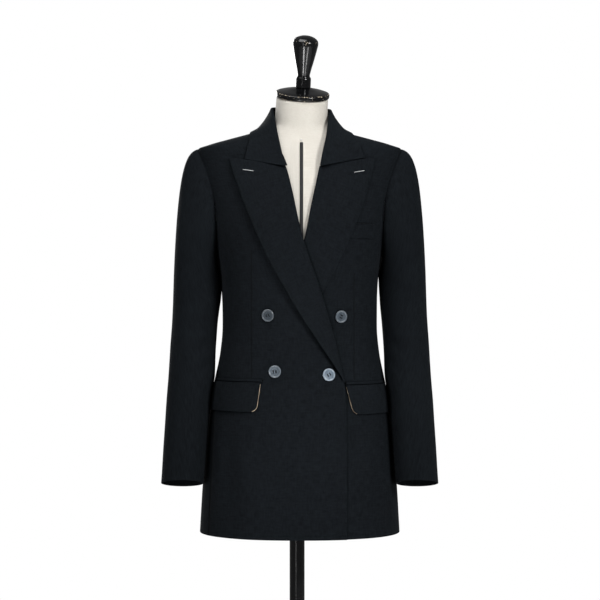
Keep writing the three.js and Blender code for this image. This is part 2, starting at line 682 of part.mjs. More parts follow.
// Hip pocket: a jet, the flap beneath it and the lining that shows past the flap's front end.
function makeHipPocket(hand, side, liftAt) {
  const end = flapEnds[hand];
  const laid = (reach, across, height, lift) => {
    const z = height - end.drop;
    const turn = mix(turnOf(reach, z), flap.farTurn, across);
    const x = side * ringPoint(turn, z).x;
    return bodySpot(side * turn, z, lift + liftAt(x, z));
  };
  const jetSpot = (i, j) => {
    const z = mix(jet.bottom, jet.top, i);
    return laid(end.jetReach, j / jet.columns, z, layerGap + trimWall);
  };
  addPiece(`pocket_jet_${hand}`, wallGeometry(1, jet.columns, jetSpot, trimWall, 0), wool);

  const flapSpot = (i, j) => {
    const inFromEnd = Math.min(flapColumns[j] * flap.length, flap.corner);
    const rise = flap.corner - Math.sqrt(flap.corner ** 2 - (flap.corner - inFromEnd) ** 2);
    const z = mix(flap.top, flap.bottom + rise, i / flap.rows);
    const lift = layerGap + trimWall + seamGap + flap.wall;
    return laid(flapReach(end, z), flapColumns[j], z, lift);
  };
  const columns = flapColumns.length - 1;
  addPiece(`pocket_flap_${hand}`, wallGeometry(flap.rows, columns, flapSpot, flap.wall, 0), wool);

  const liningSpot = (i, j) => {
    const z = mix(flap.top - lining.inset, flap.bottom + lining.rise, i / lining.rows);
    const nearCorner = Math.max(flap.bottom + flap.corner - z, 0);
    const round = flap.corner - Math.sqrt(flap.corner ** 2 - nearCorner ** 2);
    const inward = mix(-lining.show, lining.depth, j / lining.columns) + round;
    return laid(flapReach(end, z) + inward, 0, z, layerGap + trimWall);
  };
  const liningGeometry = wallGeometry(lining.rows, lining.columns, liningSpot, trimWall, 0);
  addPiece(`flap_lining_${hand}`, liningGeometry, tanLining);
}

function makeWelt() {
  const spotAt = (i, j) => {
    const z = mix(welt.bottom, welt.top, i / welt.rows);
    return bodySpot(turnOf(mix(welt.inner, welt.outer, j / welt.columns), z), z, layerGap + trimWall);
  };
  addPiece("chest_welt", wallGeometry(welt.rows, welt.columns, spotAt, trimWall, 0), wool);
}

// Turned solid about its own z axis, from radius and height pairs that start and end on it.
function turned(profile, sides) {
  const points = profile.map(([radius, height]) => new THREE.Vector2(radius, height));
  return new THREE.LatheGeometry(points, sides).rotateX(Math.PI / 2);
}

function toSolid(wasm, geometry) {
  const bare = geometry.clone();
  bare.deleteAttribute("normal");
  bare.deleteAttribute("uv");
  const merged = mergeVertices(bare, 1e-4);
  const vertProperties = new Float32Array(merged.attributes.position.array);
  const triVerts = new Uint32Array(merged.index.array);
  return new wasm.Manifold(new wasm.Mesh({ numProp: 3, vertProperties, triVerts }));
}

function fromSolid(solid) {
  const { vertProperties, triVerts } = solid.getMesh();
  const geometry = new THREE.BufferGeometry();
  geometry.setAttribute("position", new THREE.Float32BufferAttribute(vertProperties, 3));
  geometry.setIndex(Array.from(triVerts));
  return geometry;
}

function buttonGeometry(wasm) {
  const edge = { foot: 2, chamfer: 1.2, round: 0.7, slope: 1.2 };
  const top = buttonThickness;
  const profile = [
    [0, 0], [buttonRadius - edge.foot, 0], [buttonRadius, edge.chamfer],
    [buttonRadius, top - edge.round], [buttonRadius - edge.round, top],
    [buttonDish.radius + edge.slope, top], [buttonDish.radius, top - buttonDish.depth],
    [0, top - buttonDish.depth],
  ];
  let solid = toSolid(wasm, turned(profile, buttonSides));
  const { radius, offset, sides } = buttonHole;
  for (const across of [-offset, offset]) {
    for (const up of [-offset, offset]) {
      const drill = new THREE.CylinderGeometry(radius, radius, 3 * top, sides);
      drill.rotateX(Math.PI / 2).translate(across, up, 0);
      solid = solid.subtract(toSolid(wasm, drill));
    }
  }
  return fromSolid(solid);
}

function makeButtons(wasm) {
  const geometry = buttonGeometry(wasm);
  const outFromFront = new THREE.Vector3(0, 0, 1);
  for (const { name, x, z, gap, onRight } of buttonPlaces) {
    const lift = gap + (onRight ? rightFrontLift(x, z) : 0);
    const { point, normal } = bodySpot(turnOf(x, z), z, lift);
    const mesh = addPiece(name, geometry, horn);
    mesh.position.copy(point);
    mesh.quaternion.setFromUnitVectors(outFromFront, normal);
  }
}

const formInset = curveOf(formInsets, "z", "inset");

// Closed solid from rings of equally many points, listed from the bottom up.
function ringSolid(rings) {
  const count = rings[0].length;
  const corners = rings.flat();
  const middle = (ring) => ring
    .reduce((sum, point) => sum.add(point), new THREE.Vector3())
    .divideScalar(count);
  const floor = corners.push(middle(rings[0])) - 1;
  const roof = corners.push(middle(rings[rings.length - 1])) - 1;
  const triangles = [];
  const top = (rings.length - 1) * count;
  for (let j = 0; j < count; j += 1) {
    const next = (j + 1) % count;
    for (let i = 0; i < rings.length - 1; i += 1) {
      const low = i * count;
      const high = low + count;
      triangles.push(low + j, low + next, high + next, low + j, high + next, high + j);
    }
    triangles.push(floor, next, j, roof, top + j, top + next);
  }
  return solidGeometry(corners, triangles);
}

function makeForm() {
  const turns = Array.from({ length: formTurns }, (_, j) => (360 * j) / formTurns);
  const torso = formHeights.map((z) => turns.map((turn) => bodySpot(turn, z, -formInset(z)).point));
  const floor = torso[0].map((point) => point.clone().multiplyScalar(formFloor.share).setZ(formFloor.z));
  const neck = formNeck.map(({ z, side, front, back }) => turns.map((turn) => {
    const ahead = Math.cos(radians(turn));
    const depth = ahead > 0 ? -front * ahead : -back * ahead;
    return new THREE.Vector3(neckCentre + side * Math.sin(radians(turn)), depth, z);
  }));
  const { x, z, side, front, back, tilt, lean } = neckTop;
  const top = turns.map((turn) => {
    const ahead = Math.cos(radians(turn));
    const across = side * Math.sin(radians(turn));
    const depth = ahead > 0 ? -front * ahead : -back * ahead;
    const height = depth * Math.tan(radians(tilt)) - across * Math.tan(radians(lean));
    return new THREE.Vector3(x + across, depth, z + height - seamGap);
  });
  addPiece("form_torso", ringSolid([floor, ...torso, ...neck, top]), linen);
}

// Dark strip down the centre front of the form, with a pin at its head.
function makeSlot() {
  const heights = [...formHeights.filter((z) => z < slot.top), slot.top];
  const onForm = (x, z, lift) => bodySpot(turnOf(x, z), z, lift - formInset(z));
  const spotAt = (i, j) => {
    const x = slot.x + slot.halfWidth * (2 * j - 1);
    return onForm(x, heights[i], slot.rise + slot.wall);
  };
  addPiece("form_slot", wallGeometry(heights.length - 1, 1, spotAt, slot.wall, 0), slotFelt);
  const { radius, height, z } = slotPin;
  const profile = [[0, 0], [radius, 0], [radius, height / 2], [radius / 2, height], [0, height]];
  const pin = addPiece("slot_pin", turned(profile, 12), brightSteel);
  const { point, normal } = onForm(slot.x, z, slotPin.rise);
  pin.position.copy(point);
  pin.quaternion.setFromUnitVectors(new THREE.Vector3(0, 0, 1), normal);
}

function makeStand() {
  const head = new THREE.Group();
  head.position.set(neckTop.x, 0, neckTop.z + seamGap / 2);
  head.rotation.set(radians(neckTop.tilt), radians(neckTop.lean), 0);
  addPiece("neck_cap", turned(capProfile, turnedSides), lacquer, head);
  addPiece("neck_finial", turned(finialProfile, turnedSides), lacquer, head);
  blazer.add(head);
  const length = formFloor.z - seamGap - pole.bottom;
  const rod = new THREE.CylinderGeometry(pole.radius, pole.radius, length, pole.sides);
  rod.rotateX(Math.PI / 2);
  const stem = addPiece("form_pole", rod, blackSteel);
  stem.position.set(pole.x, 0, pole.bottom + length / 2);
  addPiece("form_base", turned(baseProfile, baseSides), blackSteel);
}

const noLift = () => 0;
const wasm = await Module();
wasm.setup();

makeFront("front_right", -1, rightFrontEdge, rightFrontLift);
makeFront("front_left", 1, leftFrontEdge, noLift);
for (const [hand, side] of [["right", -1], ["left", 1]]) {
  makeSideBody(`side_body_${hand}`, side);
  makeBack(`back_${hand}`, side);
  makeSleeve(`sleeve_upper_${hand}`, side, upperSleeveTurns.from, upperSleeveTurns.to);
  makeSleeve(`sleeve_under_${hand}`, side, upperSleeveTurns.to, 360 + upperSleeveTurns.from);
}
makeLapel("lapel_right", -1, lapels.right, rightFrontEdge, rightFrontLift);
makeLapel("lapel_left", 1, lapels.left, leftFrontEdge, noLift);
makeCollar("collar");
makeHipPocket("right", -1, rightFrontLift);
makeHipPocket("left", 1, noLift);
makeWelt();
makeButtons(wasm);
makeForm();
makeSlot();
makeStand();

export default blazer;
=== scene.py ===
import math
import bpy
import bmesh
import numpy as np
from mathutils import Euler, Matrix, Vector


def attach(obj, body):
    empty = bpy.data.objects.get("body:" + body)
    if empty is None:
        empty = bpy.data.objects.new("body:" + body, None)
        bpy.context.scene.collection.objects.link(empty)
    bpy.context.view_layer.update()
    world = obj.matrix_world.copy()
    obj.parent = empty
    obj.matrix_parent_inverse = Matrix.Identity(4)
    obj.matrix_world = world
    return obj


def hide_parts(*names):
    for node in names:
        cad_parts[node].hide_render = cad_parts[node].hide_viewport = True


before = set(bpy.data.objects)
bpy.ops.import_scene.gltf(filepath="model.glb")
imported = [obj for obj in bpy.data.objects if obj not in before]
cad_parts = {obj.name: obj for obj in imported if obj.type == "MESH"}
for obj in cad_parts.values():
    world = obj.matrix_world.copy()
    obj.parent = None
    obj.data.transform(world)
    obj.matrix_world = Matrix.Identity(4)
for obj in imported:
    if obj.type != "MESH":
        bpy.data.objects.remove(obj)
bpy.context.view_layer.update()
scene = bpy.context.scene
mm = 0.001


def addObject(name, data):
    made = bpy.data.objects.new(name, data)
    scene.collection.objects.link(made)
    return made


# camera, level and straight ahead
view = {"distance": 3.0, "height": 1.103, "sideways": 0.0005, "lens": 94.74, "sensor": 36.0}
cameraData = bpy.data.cameras.new("frontCamera")
cameraData.lens = view["lens"]
cameraData.sensor_width = view["sensor"]
camera = addObject("frontCamera", cameraData)
camera.location = (view["sideways"], -view["distance"], view["height"])
camera.rotation_euler = (math.radians(90), 0, 0)
scene.camera = camera
scene.view_settings.view_transform = "Standard"


# gives a node its inputs: another node's output is linked, and a plain value is set
def feed(tree, node, inputs):
    for key, value in inputs.items():
        if isinstance(value, bpy.types.NodeSocket):
            tree.links.new(value, node.inputs[key])
        else:
            node.inputs[key].default_value = value


def newMaterial(name, **sockets):
    mat = bpy.data.materials.new(name)
    mat.use_nodes = True
    bsdf = mat.node_tree.nodes["Principled BSDF"]
    feed(mat.node_tree, bsdf, {key.replace("_", " "): value for key, value in sockets.items()})
    return mat, mat.node_tree, bsdf


def addNode(tree, kind, inputs=None, **settings):
    made = tree.nodes.new(kind)
    for key, value in settings.items():
        setattr(made, key, value)
    feed(tree, made, inputs or {})
    return made


def colourRamp(tree, fac, stops):
    made = addNode(tree, "ShaderNodeValToRGB", {"Fac": fac})
    elements = made.color_ramp.elements
    while len(elements) < len(stops):
        elements.new(0.5)
    for element, (at, colour) in zip(elements, stops):
        element.position = at
        element.color = (*colour, 1.0)
    return made.outputs["Color"]


def mathNode(tree, operation, *values):
    return addNode(tree, "ShaderNodeMath", dict(enumerate(values)), operation=operation).outputs[0]


def mulAdd(tree, value, factor, term):
    return mathNode(tree, "MULTIPLY_ADD", value, factor, term)


def limited(tree, value):
    return mathNode(tree, "MINIMUM", mathNode(tree, "MAXIMUM", value, 0.0), 1.0)


def noiseNode(tree, vector, scale, detail=3.0, rough=0.55):
    inputs = {"Vector": vector, "Scale": scale, "Detail": detail, "Roughness": rough}
    return addNode(tree, "ShaderNodeTexNoise", inputs).outputs["Fac"]


def bumpNode(tree, height, strength, distance, under=None):
    inputs = {"Height": height, "Strength": strength, "Distance": distance}
    if under is not None:
        inputs["Normal"] = under
    return addNode(tree, "ShaderNodeBump", inputs).outputs["Normal"]


def flatPlace(tree):
    return addNode(tree, "ShaderNodeUVMap", uv_map="clothFlat").outputs["UV"]


def objectPlace(tree):
    return addNode(tree, "ShaderNodeTexCoord").outputs["Object"]


def mapped(tree, vector, **sockets):
    return addNode(tree, "ShaderNodeMapping", {"Vector": vector, **sockets}).outputs["Vector"]


def splitPlace(tree, vector):
    return addNode(tree, "ShaderNodeSeparateXYZ", {"Vector": vector}).outputs


# black wool suiting: fine twill on the cloth's own flat coordinates, soft mottling, light nap;
# painted shade darkens its colour, shine and nap in the hollows between its layers, where little light gets
# in
wool = {
    "deep": (0.0015, 0.0022, 0.0030), "raised": (0.0068, 0.0088, 0.0109),
    "seam": (0.0022, 0.0026, 0.0030, 1), "rough": 0.88, "shine": 0.05,
    "nap": 0.012, "napTint": (0.75, 0.85, 1.0, 1.0), "frontOnly": -0.02,
    "twill": 300.0, "twillTurn": 52, "fibre": 1500.0, "slub": 330.0, "mottle": 38.0, "cloud": 6.0,
    "hollow": 0.014, "paintedShadeFloor": 0.12, "shut": 0.25, "open": 0.85,
}
# dart lines as height range, place across at the two heights, on the wearer's right and left
darts = {
    "dartRight": {"z": (0.960, 1.195), "x": (-0.0885, -0.0885), "half": 0.0018, "deep": 0.8},
    "dartLeft": {"z": (0.956, 1.150), "x": (0.1000, 0.1000), "half": 0.0018, "deep": 0.7},
    "sideRight": {"z": (0.665, 0.896), "x": (-0.1690, -0.1590), "half": 0.0030, "deep": 1.0},
}


# how deep in a dart's groove a point lies, from 0 beside it to its full depth on the line
def dartGroove(tree, axes, dart):
    (low, high), (atLow, atHigh) = dart["z"], dart["x"]
    lean = (atHigh - atLow) / (high - low)
    line = mulAdd(tree, axes["Z"], -lean, axes["X"])
    line = mathNode(tree, "ABSOLUTE", mathNode(tree, "SUBTRACT", line, atLow - lean * low))
    groove = mathNode(tree, "SUBTRACT", 1.0, mathNode(tree, "DIVIDE", line, dart["half"]))
    groove = mathNode(tree, "MULTIPLY", mathNode(tree, "MAXIMUM", groove, 0.0), dart["deep"])
    for axis, test, limit in (("Z", "GREATER_THAN", low), ("Z", "LESS_THAN", high),
                              ("Y", "LESS_THAN", wool["frontOnly"])):
        groove = mathNode(tree, "MULTIPLY", groove, mathNode(tree, test, axes[axis], limit))
    return groove


def makeWool():
    mat, tree, bsdf = newMaterial("blackWool", Roughness=wool["rough"], Specular_IOR_Level=wool["shine"],
                                  Sheen_Weight=wool["nap"], Sheen_Roughness=0.5, Sheen_Tint=wool["napTint"])
    uv, place = flatPlace(tree), objectPlace(tree)
    turned = mapped(tree, uv, Rotation=(0, 0, math.radians(wool["twillTurn"])))
    twill = addNode(tree, "ShaderNodeTexWave", {"Vector": turned, "Scale": wool["twill"], "Distortion": 0.6,
                                                "Detail": 1.0}).outputs["Fac"]
    fibre = noiseNode(tree, place, wool["fibre"], 2.0)
    mottle = noiseNode(tree, place, wool["mottle"], 5.0, 0.6)
    cloud = noiseNode(tree, place, wool["cloud"], 2.0)
    tone = mulAdd(tree, fibre, 0.15, mathNode(tree, "MULTIPLY", twill, 0.15))
    for direction in ((1.0, 0.22, 1.0), (0.22, 1.0, 1.0)):
        slub = noiseNode(tree, mapped(tree, uv, Scale=direction), wool["slub"], 2.0)
        tone = mulAdd(tree, slub, 0.35, tone)
    tone = mulAdd(tree, cloud, 0.15, mulAdd(tree, mottle, 0.10, tone))
    colour = colourRamp(tree, tone, [(0.46, wool["deep"]), (0.76, wool["raised"])])
    grain = bumpNode(tree, mulAdd(tree, fibre, 0.5, twill), 0.35, 0.00025)
    soft = bumpNode(tree, mottle, 0.25, 0.0012, grain)
    axes = splitPlace(tree, place)
    seams = 0.0
    for dart in darts.values():
        seams = mathNode(tree, "ADD", seams, dartGroove(tree, axes, dart))
    pressed = bumpNode(tree, mathNode(tree, "MULTIPLY", seams, -1.0), 0.4, 0.0015, soft)
    dyed = addNode(tree, "ShaderNodeMix", {"Factor": seams, 6: colour, 7: wool["seam"]}, data_type="RGBA")
    # painted shade: an ambient occlusion node darkens the colour, shine and nap in narrow gaps, standing in
    # for the shade there
    light = addNode(tree, "ShaderNodeAmbientOcclusion", {"Distance": wool["hollow"]}, samples=8)
    shade = addNode(tree, "ShaderNodeMapRange", {
        "Value": light.outputs["AO"], "From Min": wool["shut"], "From Max": wool["open"],
        "To Min": wool["paintedShadeFloor"], "To Max": 1.0}).outputs["Result"]
    shaded = addNode(tree, "ShaderNodeVectorMath", {0: dyed.outputs[2], "Scale": shade}, operation="SCALE")
    feed(tree, bsdf, {"Base Color": shaded.outputs["Vector"], "Normal": pressed,
                      "Roughness": mulAdd(tree, mottle, 0.16, wool["rough"] - 0.09),
                      "Specular IOR Level": mathNode(tree, "MULTIPLY", shade, wool["shine"]),
                      "Sheen Weight": mathNode(tree, "MULTIPLY", shade, wool["nap"])})
    return mat


# satin lining and the form's linen share a plain weave; thread is the spacing of its yarns
def makeWeave(name, dark, light, thread, rough, sheen, bump):
    mat, tree, bsdf = newMaterial(name, Roughness=rough, Sheen_Weight=sheen)
    uv = flatPlace(tree)
    waves = []
    for direction in ("X", "Y"):
        waves.append(addNode(tree, "ShaderNodeTexWave", {
            "Vector": uv, "Scale": 0.314 / thread, "Distortion": 1.2, "Detail": 1.5, "Detail Scale": 2.0},
            bands_direction=direction).outputs["Fac"])
    cross = mathNode(tree, "MULTIPLY", *waves)
    slub = noiseNode(tree, mapped(tree, uv, Scale=(0.15, 1.0, 1.0)), 420.0, 3.0)
    cloud = noiseNode(tree, uv, 14.0, 4.0)
    tone = mulAdd(tree, cross, 0.45, mathNode(tree, "MULTIPLY", slub, 0.35))
    tone = mulAdd(tree, cloud, 0.3, tone)
    feed(tree, bsdf, {"Base Color": colourRamp(tree, tone, [(0.15, dark), (0.75, light)]),
                      "Normal": bumpNode(tree, mulAdd(tree, slub, 0.6, cross), bump, 0.0004)})
    return mat


# the strip down the form: its dark colour is painted shade, standing in for the shadow inside the recess
# down the form's front; a paler middle between dark edges, by the distance from its middle line
slotShadeStrip = {"reach": 0.0028, "fuzz": 1600.0, "stops": [
    (0.35, (0.024, 0.023, 0.024)), (0.60, (0.008, 0.008, 0.009)), (0.95, (0.012, 0.012, 0.012))]}


def makeSlotShadeStrip():
    mat, tree, bsdf = newMaterial("slotShadeStrip", Roughness=0.8, Sheen_Weight=0.03, Specular_IOR_Level=0.2)
    uv = flatPlace(tree)
    fuzz = noiseNode(tree, uv, slotShadeStrip["fuzz"], 3.0)
    off = mathNode(tree, "ABSOLUTE", splitPlace(tree, uv)["X"])
    off = mulAdd(tree, fuzz, 0.18, mathNode(tree, "DIVIDE", off, slotShadeStrip["reach"]))
    feed(tree, bsdf, {"Base Color": colourRamp(tree, off, slotShadeStrip["stops"]),
                      "Normal": bumpNode(tree, fuzz, 0.4, 0.0003)})
    return mat


# horn whose rim is paler than its dish, about the button's own middle
horn = {"dish": 0.0084, "edge": 9.0, "bands": 260.0, "fine": 900.0, "stops": [
    (0.25, (0.034, 0.050, 0.068)), (0.50, (0.072, 0.095, 0.120)), (0.85, (0.18, 0.21, 0.24))]}


def makeHorn(name, tone, middle):
    mat, tree, bsdf = newMaterial(name, Roughness=0.34, Coat_Weight=0.12, Coat_Roughness=0.2)
    place = objectPlace(tree)
    streak = mapped(tree, place, Scale=(1.0, 1.0, 0.25), Rotation=(0, 0.5, 0))
    bands = noiseNode(tree, streak, horn["bands"], 4.0, 0.6)
    fine = noiseNode(tree, place, horn["fine"], 2.0)
    off = addNode(tree, "ShaderNodeVectorMath", {0: place, 1: middle}, operation="DISTANCE")
    rim = mathNode(tree, "SUBTRACT", mathNode(tree, "DIVIDE", off.outputs["Value"], horn["dish"]), 1.0)
    rim = limited(tree, mathNode(tree, "MULTIPLY", rim, horn["edge"]))
    mixed = mulAdd(tree, fine, 0.20, mathNode(tree, "MULTIPLY", bands, 0.60))
    mixed = mulAdd(tree, rim, 0.30, mixed)
    stops = [(at, tuple(tone * part for part in colour)) for at, colour in horn["stops"]]
    feed(tree, bsdf, {"Base Color": colourRamp(tree, mixed, stops),
                      "Roughness": mulAdd(tree, fine, 0.2, 0.24),
                      "Normal": bumpNode(tree, fine, 0.12, 0.0003)})
    return mat


# black gloss lacquer, chipped to the gold size beneath where the wear attribute is high
lacquer = {
    "black": [(0.3, (0.0014, 0.0015, 0.0018)), (0.7, (0.0035, 0.0037, 0.0042))],
    "gold": [(0.4, (0.26, 0.18, 0.09)), (0.7, (0.62, 0.54, 0.42))],
    "chips": 190.0, "dust": 60.0, "wear": 0.30, "hold": 0.86, "edge": 22.0,
}


def makeLacquer():
    mat, tree, bsdf = newMaterial("blackLacquer", Roughness=0.16, Specular_IOR_Level=0.30)
    place = objectPlace(tree)
    wear = addNode(tree, "ShaderNodeAttribute", attribute_name="wear").outputs["Fac"]
    chips = noiseNode(tree, place, lacquer["chips"], 6.0, 0.68)
    dust = noiseNode(tree, place, lacquer["dust"], 3.0)
    worn = mathNode(tree, "SUBTRACT", mulAdd(tree, wear, lacquer["wear"], chips), lacquer["hold"])
    worn = limited(tree, mathNode(tree, "MULTIPLY", worn, lacquer["edge"]))
    blend = addNode(tree, "ShaderNodeMix", {"Factor": worn, 6: colourRamp(tree, dust, lacquer["black"]),
                                            7: colourRamp(tree, chips, lacquer["gold"])}, data_type="RGBA")
    ripple = bumpNode(tree, dust, 0.05, 0.002)
    sunk = mathNode(tree, "MULTIPLY", worn, -1.0)
    feed(tree, bsdf, {"Base Color": blend.outputs[2],
                      "Roughness": mulAdd(tree, worn, 0.4, mulAdd(tree, dust, 0.10, 0.12)),
                      "Normal": bumpNode(tree, sunk, 0.5, 0.0004, ripple)})
    return mat


def makeMetal(name, dark, light, metallic, rough, shine):
    mat, tree, bsdf = newMaterial(name, Metallic=metallic, Specular_IOR_Level=shine)
    place = objectPlace(tree)
    cloud = noiseNode(tree, place, 22.0, 4.0)
    feed(tree, bsdf, {"Base Color": colourRamp(tree, cloud, [(0.3, dark), (0.75, light)]),
                      "Roughness": mulAdd(tree, cloud, 0.14, rough - 0.07),
                      "Normal": bumpNode(tree, noiseNode(tree, place, 700.0, 2.0), 0.06, 0.0003)})
    return mat


def makeThread(name, dark, light):
    mat, tree, bsdf = newMaterial(name, Roughness=0.7, Sheen_Weight=0.03, Specular_IOR_Level=0.1)
    ply = noiseNode(tree, objectPlace(tree), 2200.0, 2.0)
    feed(tree, bsdf, {"Base Color": colourRamp(tree, ply, [(0.35, dark), (0.7, light)]),
                      "Normal": bumpNode(tree, ply, 0.3, 0.0002)})
    return mat


woolMat = makeWool()
liningMat = makeWeave("tanLining", (0.36, 0.27, 0.18), (0.60, 0.49, 0.36), 0.0007, 0.5, 0.1, 0.15)
linenMat = makeWeave("creamLinen", (0.445, 0.412, 0.355), (0.625, 0.602, 0.555), 0.0013, 0.88, 0.15, 0.5)
slotMat = makeSlotShadeStrip()
lacquerMat = makeLacquer()
steelMat = makeMetal("blackSteel", (0.0018, 0.0019, 0.0022), (0.0045, 0.0047, 0.0052), 0.0, 0.16, 0.35)
pinMat = makeMetal("pinSteel", (0.50, 0.49, 0.48), (0.70, 0.69, 0.68), 1.0, 0.25, 0.5)
darkThread = makeThread("darkThread", (0.0015, 0.0018, 0.0022), (0.004, 0.0046, 0.0052))
paleThread = makeThread("paleThread", (0.42, 0.43, 0.44), (0.72, 0.73, 0.74))
print("materials ready", flush=True)


# smooth curve through a table's columns that never swings past its rows
def curveOf(columns, key, by="z"):
    xs = np.array(columns[by], float)
    ys = np.array(columns[key], float)
    if xs[0] > xs[-1]:
        xs, ys = xs[::-1], ys[::-1]
    widths = np.diff(xs)
    slopes = np.diff(ys) / widths
    tangents = np.concatenate([[slopes[0]], np.zeros(len(xs) - 2), [slopes[-1]]])
    for k in range(1, len(xs) - 1):
        if slopes[k - 1] * slopes[k] > 0:
            before = 2 * widths[k] + widths[k - 1]
            after = widths[k] + 2 * widths[k - 1]
            tangents[k] = (before + after) / (before / slopes[k - 1] + after / slopes[k])

    def value(x):
        x = np.clip(x, xs[0], xs[-1])
        k = np.clip(np.searchsorted(xs, x, side="right") - 1, 0, len(widths) - 1)
        t = (x - xs[k]) / widths[k]
        start = (1 + 2 * t) * (1 - t) ** 2 * ys[k] + t * (1 - t) ** 2 * widths[k] * tangents[k]
        return start + t * t * (3 - 2 * t) * ys[k + 1] + t * t * (t - 1) * widths[k] * tangents[k + 1]
    return value


def mix(a, b, t):
    return a + (b - a) * t


def smooth(x, low, high):
    t = np.clip((x - low) / (high - low), 0, 1)
    return t * t * (3 - 2 * t)


def unit(v):
    return v / np.maximum(np.linalg.norm(v, axis=-1, keepdims=True), 1e-9)


# the body of the blazer as level rings, in millimetres, as in the frame
body = {
    "z": [665.5, 734, 780, 843, 907, 962, 1008, 1053, 1130, 1195, 1230, 1260, 1290, 1330, 1360, 1388,
          1397, 1407, 1417.5, 1427, 1433],
    "side": [189.3, 185.3, 181.8, 176, 168.2, 158.6, 150.2, 146.4, 147, 156, 162, 166.8, 171, 179, 186,
             191, 171, 136.5, 98, 66, 57],
    "front": [128, 127, 126.3, 124.3, 121, 117, 112, 110, 117, 123.5, 122.5, 117, 108.5, 93, 78, 64,
              58.5, 53, 47.5, 42, 40],
    "back": [117, 117, 116.5, 114.5, 109, 102, 93, 87, 92, 101, 106, 110, 112, 107, 98, 85, 79, 73, 67,
             61, 58],
    "power": [2.35, 2.35, 2.35, 2.35, 2.33, 2.3, 2.25, 2.2, 2.2, 2.25, 2.3, 2.3, 2.33, 2.38, 2.5, 2.75,
              2.6, 2.35, 2.15, 2.0, 2.0],
}
bodySide = curveOf(body, "side")
bodyFront = curveOf(body, "front")
bodyBack = curveOf(body, "back")
bodyPower = curveOf(body, "power")


# turn in degrees from the centre front towards the wearer's left
def ringPoint(turn, z):
    turn, z = np.broadcast_arrays(np.asarray(turn, float), np.asarray(z, float))
    sine, cosine = np.sin(np.radians(turn)), np.cos(np.radians(turn))
    power = bodyPower(z)
    depth = np.where(cosine > 0, -bodyFront(z), bodyBack(z))
    share = np.maximum(0, 1 - np.abs(sine) ** power) ** (1 / power)
    return np.stack([bodySide(z) * sine, depth * share, z], -1)


def ringNormal(turn, z):
    around = ringPoint(turn + 0.6, z) - ringPoint(turn - 0.6, z)
    upward = ringPoint(turn, z + 0.8) - ringPoint(turn, z - 0.8)
    return unit(np.cross(around, upward))


def bodySpot(turn, z, lift=0.0):
    normal = ringNormal(turn, z)
    return ringPoint(turn, z) + normal * np.asarray(lift)[..., None], normal


def turnOf(x, z):
    return np.degrees(np.arcsin(np.clip(x / bodySide(z), -1, 1)))


overlap = {"z": [665.5, 870, 945, 1080, 1200, 1290, 1350, 1400, 1433],
           "lift": [4.0, 4.0, 6.2, 6.6, 7.0, 2.6, 0.6, 0, 0], "start": -150, "full": -80}
overlapLift = curveOf(overlap, "lift")


def rightLift(x, z):
    return overlapLift(z) * smooth(x, overlap["start"], overlap["full"])


def noLift(x, z):
    return np.zeros_like(np.asarray(x, float))


# shares of the way along a length in mm, closer together at both ends for crisp edges
def stations(length, pitch, near=(0.45, 1.7, 4.4)):
    ends = np.array([0.0, *near]) / length
    count = max(2, round((length - 2 * near[-1]) / pitch))
    middle = np.linspace(ends[-1], 1 - ends[-1], count + 1)
    return np.concatenate([ends[:-1], middle, 1 - ends[-2::-1]])


# points along a crease's path, how it dies out at its ends, and how many half widths out it swells back
creaseRun = {"steps": 41, "taper": 0.8, "swell": 1.9}


# height of soft creases over a grid of points. A crease is its half width, its height at the middle, below
# zero for a trough, the share of that which swells back beside it, and its path in the surface's own two
# coordinates
def creaseHeight(points, creases, surface):
    height = np.zeros(points.shape[:-1])
    steps = np.linspace(0, 1, creaseRun["steps"])
    for width, depth, sides, *path in creases:
        first, second = np.array(path, float).T
        columns = {"at": np.linspace(0, 1, len(path)), "first": first, "second": second}
        line = surface(curveOf(columns, "first", "at")(steps), curveOf(columns, "second", "at")(steps))
        away = np.linalg.norm(points[..., None, :] - line, axis=-1)
        along = steps[away.argmin(-1)]
        fade = np.sin(np.pi * np.clip(along, 0.02, 0.98)) ** creaseRun["taper"]
        q = away.min(-1) / width
        height += depth * fade * (np.exp(-q * q) - sides * np.exp(-(q - creaseRun["swell"]) ** 2))
    return height


def gridNormals(points, outwardFrom):
    across = np.gradient(points, axis=1)
    down = np.gradient(points, axis=0)
    normals = unit(np.cross(across, down))
    if np.sum(normals * (points - outwardFrom)) < 0:
        normals = -normals
    return normals


# draws a grid's four borders in, which leaves a hair's gap at a seam
def pullIn(grid, distance):
    grid = grid.copy()
    grid[0], grid[-1] = (grid[0] + unit(grid[1] - grid[0]) * distance,
                         grid[-1] + unit(grid[-2] - grid[-1]) * distance)
    grid[:, 0], grid[:, -1] = (grid[:, 0] + unit(grid[:, 1] - grid[:, 0]) * distance,
                               grid[:, -1] + unit(grid[:, -2] - grid[:, -1]) * distance)
    return grid


def meshObject(name, vertices, faces, mats, uvs, faceMats=None):
    mesh = bpy.data.meshes.new(name)
    mesh.from_pydata((vertices * mm).tolist(), [], faces)
    layer = mesh.uv_layers.new(name="clothFlat")
    corner = np.empty(len(mesh.loops), int)
    mesh.loops.foreach_get("vertex_index", corner)
    layer.data.foreach_set("uv", (uvs[corner] * mm).astype("f4").ravel())
    for mat in mats:
        mesh.materials.append(mat)
    if faceMats is not None:
        mesh.polygons.foreach_set("material_index", faceMats)
    mesh.shade_smooth()
    mesh.update()
    return addObject(name, mesh)


def subdivide(made, level=1):
    modifier = made.modifiers.new("rounded", "SUBSURF")
    modifier.levels = modifier.render_levels = level
    return made


